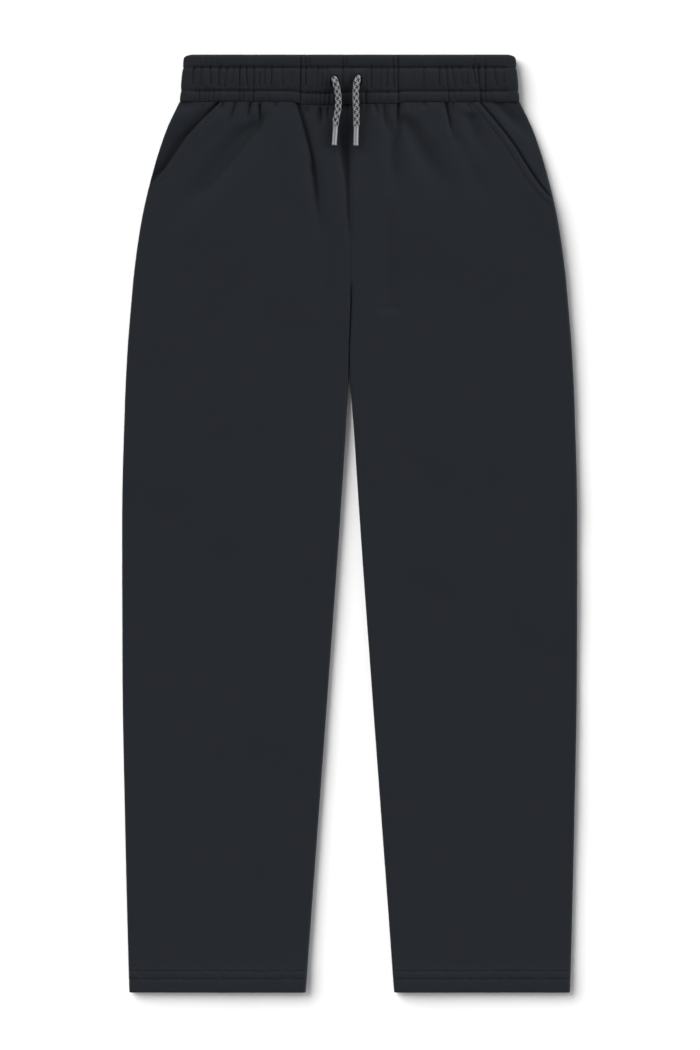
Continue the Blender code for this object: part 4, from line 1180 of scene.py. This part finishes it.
class SWEATPANTS_OT_waistband(bpy.types.Operator):
    """Make the waistband: one gathered loop around elastic, laid flat, with the cord's two holes"""

    bl_idname = "sweatpants.waistband"
    bl_label = "Waistband"

    def profile(self):
        """Rows around the band's wall. The first and last ones turn over its foot and its top edge."""
        foot = ((0.15, 0.25, 0.25), (0.15, 1.2, 1.8), (0.15, 2.0, 3.2), (0.3, 2.45, 4.2))
        top = (
            (41.1, 5.0, 4.6), (41.8, 4.2, 3.9), (42.3, 3.2, 3.0), (42.5, 1.9, 1.9), (42.3, 1.2, 1.2),
            (41.7, 0.6, 0.6), (40.8, 0.25, 0.25), (30.0, 0.15, 0.15), (15.0, 0.15, 0.15), (3.0, 0.15, 0.15),
        )
        foot, top = in_metres(BandRow, 0, *foot), in_metres(BandRow, 0, *top)
        rises = np.linspace(0.6 * MM, 40.4 * MM, 80)
        stands = channel_stand(rises)
        ends = END_STAND + END_CHANNEL_SHARE * (stands - END_STAND)
        return foot, tuple(BandRow(*row) for row in zip(rises, stands, ends)), top

    def execute(self, context):
        settings = context.scene.sweatpants_cloth
        front_pleats, back_pleats = BAND_PLEATS + filled(FINE_PLEATS, 100), filled(BACK_PLEATS, 200)
        foot, face, top = self.profile()
        rise, stand, end_stand = np.array(foot + face + top).T[..., None]
        half = band_half_width(rise) - BAND_WALL
        # A row takes all of the relief on the face, and less over the top and under the foot.
        on_face = np.array([False] * len(foot) + [True] * len(face) + [False] * len(top))[:, None]
        relief_share = np.where(on_face, 1.0, np.clip(stand / (4 * MM), 0, 1))
        hang = np.clip(1 - rise / STITCH_ROWS[1], 0, 1)

        def standing(x):
            """The rows' stands, which reach those of the band's ends where it folds round to the back."""
            return stand + (end_stand - stand) * smoothstep(-9 * MM, 0, np.abs(x) - half)

        x = half * np.linspace(-1, 1, FRONT_COLUMNS)[None, :]
        lift = standing(x) + settings.fold_strength * relief_share * pleat_relief(front_pleats, x, rise)
        lift = lift + relief_share * (0.10 * MM * FINE_SWELL(x, rise) + cord_bulge(x, rise))
        lift = lift - relief_share * hole_share(x, rise) * HOLE_DEPTH
        lift = np.maximum(lift, np.minimum(stand, 1.2 * MM))
        drop = hang * waist_droop(x)
        front_points = place_points(x, WAIST_SEAM + rise - drop, BAND_MIDDLE + lift)

        turns = np.linspace(0, math.pi, END_COLUMNS)[None, 1:-1]
        out = end_stand * np.sin(turns) ** END_SQUARE
        up = end_stand * np.sign(np.cos(turns)) * np.abs(np.cos(turns)) ** END_SQUARE
        right_points = place_points(half + out, WAIST_SEAM + rise, BAND_MIDDLE + up)
        left_points = place_points(-half - out, WAIST_SEAM + rise, BAND_MIDDLE - up)

        x_back = half * np.linspace(1, -1, BACK_COLUMNS)[None, :]
        dents = pleat_relief(back_pleats, x_back, rise)
        sink = standing(x_back) + settings.fold_strength * relief_share * dents
        sink = np.clip(sink, 0.15 * MM, BAND_MIDDLE)
        drop_back = hang * waist_droop(x_back)
        back_points = place_points(x_back, WAIST_SEAM + rise - drop_back, BAND_MIDDLE - sink)

        points = np.concatenate([front_points, right_points, back_points, left_points], axis=1)
        points[..., 2] = np.maximum(points[..., 2], 0.0)
        steps = np.abs(np.diff(points[10, :, 0])) + np.abs(np.diff(points[0, :, 2]))
        along_loop = np.concatenate([[0], np.cumsum(steps)])
        uv = pairs(along_loop[None, :], rise + np.where(on_face, 0, stand))
        quads = grid_quads(*points.shape[:2], close_rows=True, close_columns=True)
        fleece = material_once(
            "waistband_fleece", fleece_material, tuple(settings.band_colour), settings.grain
        )
        piece = object_from("waistband_cloth", points, quads.tolist(), [fleece], uv)
        adopt(piece, "waistband", "waistband_front", "waistband_back")
        return {"FINISHED"}


# ---------------------------------------------------------------- stitching
def stitch_tree():
    """Puts a stitch at every pitch along a line, lying along it, and slightly uneven."""
    tree = bpy.data.node_groups.new("Row of stitches", "GeometryNodeTree")
    face = tree.interface
    face.new_socket("Line", in_out="INPUT", socket_type="NodeSocketGeometry")
    for name, default in (("Pitch", 3.2 * MM), ("Length", 2.6 * MM), ("Thread", 0.55 * MM)):
        socket = face.new_socket(name, in_out="INPUT", socket_type="NodeSocketFloat")
        socket.default_value, socket.subtype = default, "DISTANCE"
    face.new_socket("Seed", in_out="INPUT", socket_type="NodeSocketInt").default_value = 3
    face.new_socket("Material", in_out="INPUT", socket_type="NodeSocketMaterial")
    face.new_socket("Stitches", in_out="OUTPUT", socket_type="NodeSocketGeometry")

    node = partial(add_node, tree)
    start = node("NodeGroupInput").outputs
    line = node("GeometryNodeMeshToCurve", None, {"Mesh": start["Line"]})
    places = {"Curve": line.outputs[0], "Length": start["Pitch"]}
    spaced = node("GeometryNodeResampleCurve", {"mode": "LENGTH"}, places)
    ball = node("GeometryNodeMeshUVSphere", None, {"Segments": 7, "Rings": 5, "Radius": 0.5})
    thread = start["Thread"]
    size = node("ShaderNodeCombineXYZ", None, {"X": thread, "Y": thread, "Z": start["Length"]})
    stitch = node("GeometryNodeTransform", None, {"Geometry": ball.outputs[0], "Scale": size.outputs[0]})
    tangent = node("GeometryNodeInputTangent")
    turn = node("FunctionNodeAlignRotationToVector", {"axis": "Z"}, {"Vector": tangent.outputs[0]})
    spread = {"Min": 0.88, "Max": 1.08, "Seed": start["Seed"]}
    uneven = node("FunctionNodeRandomValue", {"data_type": "FLOAT"}, spread)
    placed = node(
        "GeometryNodeInstanceOnPoints", None,
        {
            "Points": spaced.outputs[0], "Instance": stitch.outputs[0], "Rotation": turn.outputs[0],
            "Scale": uneven.outputs["Value"],
        },
    )
    real = node("GeometryNodeRealizeInstances", None, {"Geometry": placed.outputs[0]})
    smooth = node("GeometryNodeSetShadeSmooth", None, {"Geometry": real.outputs[0]})
    paint = {"Geometry": smooth.outputs[0], "Material": start["Material"]}
    painted = node("GeometryNodeSetMaterial", None, paint)
    tree.links.new(painted.outputs[0], node("NodeGroupOutput").inputs[0])
    return tree


HEM_POINTS, MOUTH_POINTS, BAND_POINTS = 160, 120, 400  # of the lines that stitches are put along


def sewn_rows(context, name, lines, tree, material):
    """A plain mesh of stitches along each of these lines of points."""
    settings = context.scene.sweatpants_stitches
    points = np.concatenate(lines)
    edges, first = [], 0
    for line in lines:
        edges += [(first + k, first + k + 1) for k in range(len(line) - 1)]
        first += len(line)
    guide_mesh = bpy.data.meshes.new(f"{name}_line")
    guide_mesh.from_pydata(points.tolist(), edges, [])
    guide = put(f"{name}_line", guide_mesh)
    nodes = guide.modifiers.new("Stitches", "NODES")
    nodes.node_group = tree
    values = {
        "Pitch": settings.pitch, "Length": settings.length, "Thread": settings.thread, "Seed": len(name),
        "Material": material,
    }
    for item in tree.interface.items_tree:
        if item.in_out == "INPUT" and item.name in values:
            nodes[item.identifier] = values[item.name]
    context.view_layer.update()
    graph = context.evaluated_depsgraph_get()
    mesh = bpy.data.meshes.new_from_object(guide.evaluated_get(graph))
    mesh.name = name
    guide.modifiers.remove(nodes)
    bpy.data.objects.remove(guide)
    if not mesh.polygons:
        raise RuntimeError(f"{name} came out with no stitches")
    return put(name, mesh)


class SWEATPANTS_OT_stitching(bpy.types.Operator):
    """Sew the hems, the pocket mouths and the waistband's channels"""

    bl_idname = "sweatpants.stitching"
    bl_label = "Stitching"

    def execute(self, context):
        cloth = context.scene.sweatpants_cloth
        form = FrontCloth(cloth)
        colour = tuple(context.scene.sweatpants_stitches.colour)
        thread = material_once("charcoal_thread", thread_material, colour)
        tree = stitch_tree()
        for side in (LEFT, RIGHT):
            front_lines, back_lines = [], []
            for row in HEM_ROWS:
                height = np.array([row])
                start, end = inner_edge(side, height)[0], side * side_seam(height)[0]
                x = np.linspace(start + side * 3 * MM, end - side * 3 * MM, HEM_POINTS)
                z, _, _ = form.wall(side, x, row)
                front_lines.append(place_points(x, row, z + 0.12 * MM))
                back_lines.append(place_points(x, row, 0.42 * MM))
            top, foot = WAIST_SEAM - 2 * MM, MOUTH_FOOT[side] + 3 * MM
            height = np.linspace(top, foot, MOUTH_POINTS)
            x = side * (mouth_x(side, height) - TOPSTITCH_IN / MOUTH_SLANT)
            z, _, _ = form.wall(side, x, height)
            z = z + form.mouth_relief(side, x, height)
            front_lines.append(place_points(x, drooped(x, height), z + 0.02 * MM))
            for name, lines in (("front_stitches", front_lines), ("back_stitches", back_lines)):
                adopt(sewn_rows(context, sided(name, side), lines, tree, thread), "fleece")
        lines = []
        for rise in STITCH_ROWS:
            half = float(band_half_width(np.array(rise))) - BAND_WALL - 1 * MM
            x = np.linspace(-half, half, BAND_POINTS)
            stand = channel_stand(np.array([rise]))[0]
            relief = cloth.fold_strength * pleat_relief(BAND_PLEATS, x, np.array(rise))
            height = WAIST_SEAM + rise - (1 - rise / STITCH_ROWS[1]) * waist_droop(x)
            lines.append(place_points(x, height, BAND_MIDDLE + stand + relief + 0.02 * MM))
            lines.append(place_points(x, height, BAND_MIDDLE - stand + 0.1 * MM))
        adopt(sewn_rows(context, "waistband_stitches", lines, tree, thread), "waistband")
        return {"FINISHED"}


# ---------------------------------------------------------------- drawcord
def cord_place(point):
    """A point of the cord's table as a place in the frame."""
    return Vector((point.x, point.height + CAD_LOW[1], point.lift))


def smooth_route(side, count):
    """count points along one smooth curve through the cord's own."""
    vectors = [cord_place(point) for point in CORD_ROUTES[side]]
    padded = [2 * vectors[0] - vectors[1], *vectors, 2 * vectors[-1] - vectors[-2]]
    found = []
    for k in range(count):
        at = k * (len(vectors) - 1) / (count - 1)
        i = min(int(at), len(vectors) - 2)
        t = at - i
        a, b, c, d = padded[i : i + 4]
        curve = 2 * b + (c - a) * t + (2 * a - 5 * b + 4 * c - d) * t * t + (3 * b - a - 3 * c + d) * t**3
        found.append(0.5 * curve)
    return found


def tube_frames(route):
    """Two directions across the cord at each point, carried along it without twist."""
    points = np.array(route)
    tangents = np.gradient(points, axis=0)
    tangents /= np.linalg.norm(tangents, axis=1)[:, None]
    side = np.cross(tangents[0], (1.0, 0.0, 0.0))
    sides = []
    for tangent in tangents:
        side = side - tangent * side.dot(tangent)
        side /= np.linalg.norm(side)
        sides.append(side)
    sides = np.array(sides)
    return sides, np.cross(tangents, sides)


def woven(phase_one, phase_two, strands):
    """(relief, dark) of a braid where each strand goes over one and under the next."""
    over = (np.floor(phase_one) + np.floor(phase_two)) % 2 == 0
    one, two = phase_one % 1.0, phase_two % 1.0
    across = np.where(over, one, two)
    run = np.where(over, two, one)
    relief = np.sin(math.pi * across) ** 0.8 * (0.35 + 0.65 * np.sin(math.pi * run) ** 0.6)
    first, second = np.floor(phase_one) % strands, np.floor(phase_two) % strands
    dark = np.where(over, first % 4 > 1, second % 4 > 1)
    return relief, dark.astype(float)


class SWEATPANTS_OT_drawcord(bpy.types.Operator):
    """Braid the drawcord's two free ends, and put a metal tip on each"""

    bl_idname = "sweatpants.drawcord"
    bl_label = "Drawcord"

    def braid(self, settings, side):
        """A free end's braid, the points it follows and its length."""
        route = smooth_route(side, CORD_POINTS)
        points = np.array(route)
        steps = np.linalg.norm(np.diff(points, axis=0), axis=1)
        along = np.concatenate([[0], np.cumsum(steps)])[:, None]
        sides, ups = tube_frames(route)
        angle = (np.arange(CORD_SEGMENTS) / CORD_SEGMENTS * math.tau)[None, :]
        turns = angle / math.tau
        first = settings.strands * (turns + along / settings.turn)
        second = settings.strands * (turns - along / settings.turn)
        relief, dark = woven(first, second, settings.strands)
        radius = settings.diameter / 2 - settings.relief * (1 - relief)
        radius = radius - 0.5 * MM * turn_over(np.minimum(along, along[-1] - along) / (1 * MM))
        radius = radius - CORD_TAPER * turn_over(along / CORD_TAPER_REACH)
        ring = radius[..., None] * (
            np.cos(angle)[..., None] * sides[:, None, :] + np.sin(angle)[..., None] * ups[:, None, :]
        )
        grid = points[:, None, :] + ring
        quads = grid_quads(*grid.shape[:2], close_columns=True).tolist()
        last_ring = (CORD_POINTS - 1) * CORD_SEGMENTS
        caps = [list(range(start, start + CORD_SEGMENTS)) for start in (0, last_ring)]
        uv = pairs(np.abs(turns - 0.5) * math.pi * settings.diameter, along)
        yarn = material_once("flecked_yarn", yarn_material, tuple(settings.light), tuple(settings.dark))
        piece = object_from(sided("cord", side), grid, quads + caps, [yarn], uv, "cord", sharp=math.pi)
        fleck = piece.data.attributes.new("fleck", "FLOAT", "POINT")
        fleck.data.foreach_set("value", dark.astype(np.float32).ravel())
        return piece, route, float(along[-1, 0])

    def tip(self, settings, side):
        """The metal tube on the end of the cord."""
        start = cord_place(CORD_ROUTES[side][-1])
        axis = (cord_place(AGLET_ENDS[side]) - start).normalized()
        turn = Vector((0, 0, 1)).rotation_difference(axis)
        points, rings = [], []
        for distance, share, _ in TIP_OUTLINE:
            radius = AGLET_DIAMETER / 2 * share
            ring = [start + axis * distance * MM]
            if radius > 0.0:
                angles = [math.tau * k / TIP_SEGMENTS for k in range(TIP_SEGMENTS)]
                spokes = [(radius * math.cos(a), radius * math.sin(a), distance * MM) for a in angles]
                ring = [start + turn @ Vector(spoke) for spoke in spokes]
            rings.append(range(len(points), len(points) + len(ring)))
            points += ring
        faces, painted_shade_index = [], []
        for row, (a, b) in enumerate(zip(rings, rings[1:])):
            for k in range(TIP_SEGMENTS):
                over = (k + 1) % TIP_SEGMENTS
                if len(a) == 1:
                    faces.append((a[0], b[k], b[over]))
                elif len(b) == 1:
                    faces.append((a[k], b[0], a[over]))
                else:
                    faces.append((a[k], b[k], b[over], a[over]))
                # 1 marks a face inside the open end, which takes the painted shade
                painted_shade_index.append(TIP_OUTLINE[row + 1][2])
        metal = material_once("satin_metal", metal_material, tuple(settings.metal))
        # Near-black painted shade for the faces inside the open end, in place of the metal there
        hollow_painted_shade = material_once("tip_hollow", painted_shade_material)
        name = sided("cord_tip", side)
        piece = object_from(name, np.array(points), faces, [metal, hollow_painted_shade], sharp=math.pi)
        piece.data.polygons.foreach_set("material_index", painted_shade_index)
        return adopt(piece, "cord_tip", sided("aglet", side))

    def execute(self, context):
        settings = context.scene.sweatpants_cord
        for side in (LEFT, RIGHT):
            tip = self.tip(settings, side)
            piece, route, length = self.braid(settings, side)
            adopt(piece, "cord", sided("drawcord", side))
        return {"FINISHED"}


# ---------------------------------------------------------------- stage
class SWEATPANTS_OT_stage(bpy.types.Operator):
    """Lay the floor, and set the light and the camera that looks straight down"""

    bl_idname = "sweatpants.stage"
    bl_label = "Stage"

    def sun(self, name, strength, azimuth, height, softness):
        """A wide, distant light."""
        light = bpy.data.lights.new(name, "SUN")
        light.energy, light.angle, light.color = strength, softness, LIGHT_COLOUR
        obj = put(name, light)
        level = math.cos(height)
        towards = Vector((math.cos(azimuth) * level, math.sin(azimuth) * level, math.sin(height)))
        obj.rotation_euler = towards.to_track_quat("Z", "Y").to_euler()
        return obj

    def execute(self, context):
        scene, settings = context.scene, context.scene.sweatpants_stage
        mesh = bpy.data.meshes.new("floor")
        corners = [(-1, -1), (1, -1), (1, 1), (-1, 1)]
        points = [(x * FLOOR_HALF, y * FLOOR_HALF, -FLOOR_DROP) for x, y in corners]
        mesh.from_pydata(points, [], [(0, 1, 2, 3)])
        mesh.materials.append(floor_material("pale_floor", tuple(settings.floor_colour)))
        floor = put("floor", mesh)
        floor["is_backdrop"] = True

        for name, kind, azimuth in LIGHTS:
            height, softness = getattr(settings, f"{kind}_height"), getattr(settings, f"{kind}_softness")
            light = self.sun(name, getattr(settings, name), math.radians(azimuth), height, softness)
            lit = bpy.data.collections.new(f"{name}_falls_on")
            lit.objects.link(floor)
            state = "INCLUDE" if kind == "floor" else "EXCLUDE"
            lit.collection_objects[0].light_linking.link_state = state
            light.light_linking.receiver_collection = lit

        world = bpy.data.worlds.new("studio")
        world.use_nodes = True
        tree = world.node_tree
        node = partial(add_node, tree)
        spot = node("ShaderNodeTexCoord").outputs["Generated"]
        height = node("ShaderNodeSeparateXYZ", None, {"Vector": spot}).outputs["Z"]
        sky = node("ShaderNodeValToRGB", {"stops": SKY_STOPS}, {"Fac": height})
        background = tree.nodes["Background"]
        fill(tree, background.inputs["Color"], sky.outputs["Color"])
        fill(tree, background.inputs["Strength"], settings.sky_strength)
        scene.world = world

        camera = bpy.data.cameras.new("camera")
        camera.lens, camera.sensor_width, camera.sensor_fit = LENS, SENSOR_WIDTH, "AUTO"
        camera.clip_start, camera.clip_end = 0.01, 50
        scene.camera = put("camera", camera)
        away = settings.view_height * camera.lens / camera.sensor_width + loft(CROTCH)
        scene.camera.location = (*VIEW_MIDDLE, away)
        scene.view_settings.view_transform = "Standard"
        scene.view_settings.look = "None"
        return {"FINISHED"}


# ---------------------------------------------------------------- add-on
class SWEATPANTS_PT_panel(bpy.types.Panel):
    """The sweatpants' pieces and sizes"""

    bl_idname = "SWEATPANTS_PT_panel"
    bl_label = "Sweatpants"
    bl_space_type = "VIEW_3D"
    bl_region_type = "UI"
    bl_category = "Sweatpants"

    def draw(self, context):
        layout = self.layout
        for group, title, cls in SETTING_GROUPS:
            box = layout.box()
            box.label(text=title)
            for name in cls.__annotations__:
                box.prop(getattr(context.scene, group), name)
        for operator in OPERATORS:
            layout.operator(operator.bl_idname)


SETTING_GROUPS = (
    ("sweatpants_cloth", "Cloth", ClothSettings),
    ("sweatpants_stitches", "Stitches", StitchSettings),
    ("sweatpants_cord", "Drawcord", CordSettings),
    ("sweatpants_stage", "Stage", StageSettings),
)
OPERATORS = (
    SWEATPANTS_OT_stage,
    SWEATPANTS_OT_drawcord,
    SWEATPANTS_OT_backs,
    SWEATPANTS_OT_pocket_facings,
    SWEATPANTS_OT_fronts,
    SWEATPANTS_OT_waistband,
    SWEATPANTS_OT_stitching,
)
CLASSES = (*(cls for _, _, cls in SETTING_GROUPS), *OPERATORS, SWEATPANTS_PT_panel)


def register():
    for cls in CLASSES:
        bpy.utils.register_class(cls)
    for group, _, cls in SETTING_GROUPS:
        setattr(bpy.types.Scene, group, bpy.props.PointerProperty(type=cls))


def unregister():
    for group, _, _ in SETTING_GROUPS:
        delattr(bpy.types.Scene, group)
    for cls in reversed(CLASSES):
        bpy.utils.unregister_class(cls)


def main():
    register()
    bpy.ops.sweatpants.stage()
    bpy.ops.sweatpants.drawcord()
    bpy.ops.sweatpants.backs()
    bpy.ops.sweatpants.pocket_facings()
    bpy.ops.sweatpants.fronts()
    bpy.ops.sweatpants.waistband()
    bpy.ops.sweatpants.stitching()


if __name__ == "__main__":
    main()
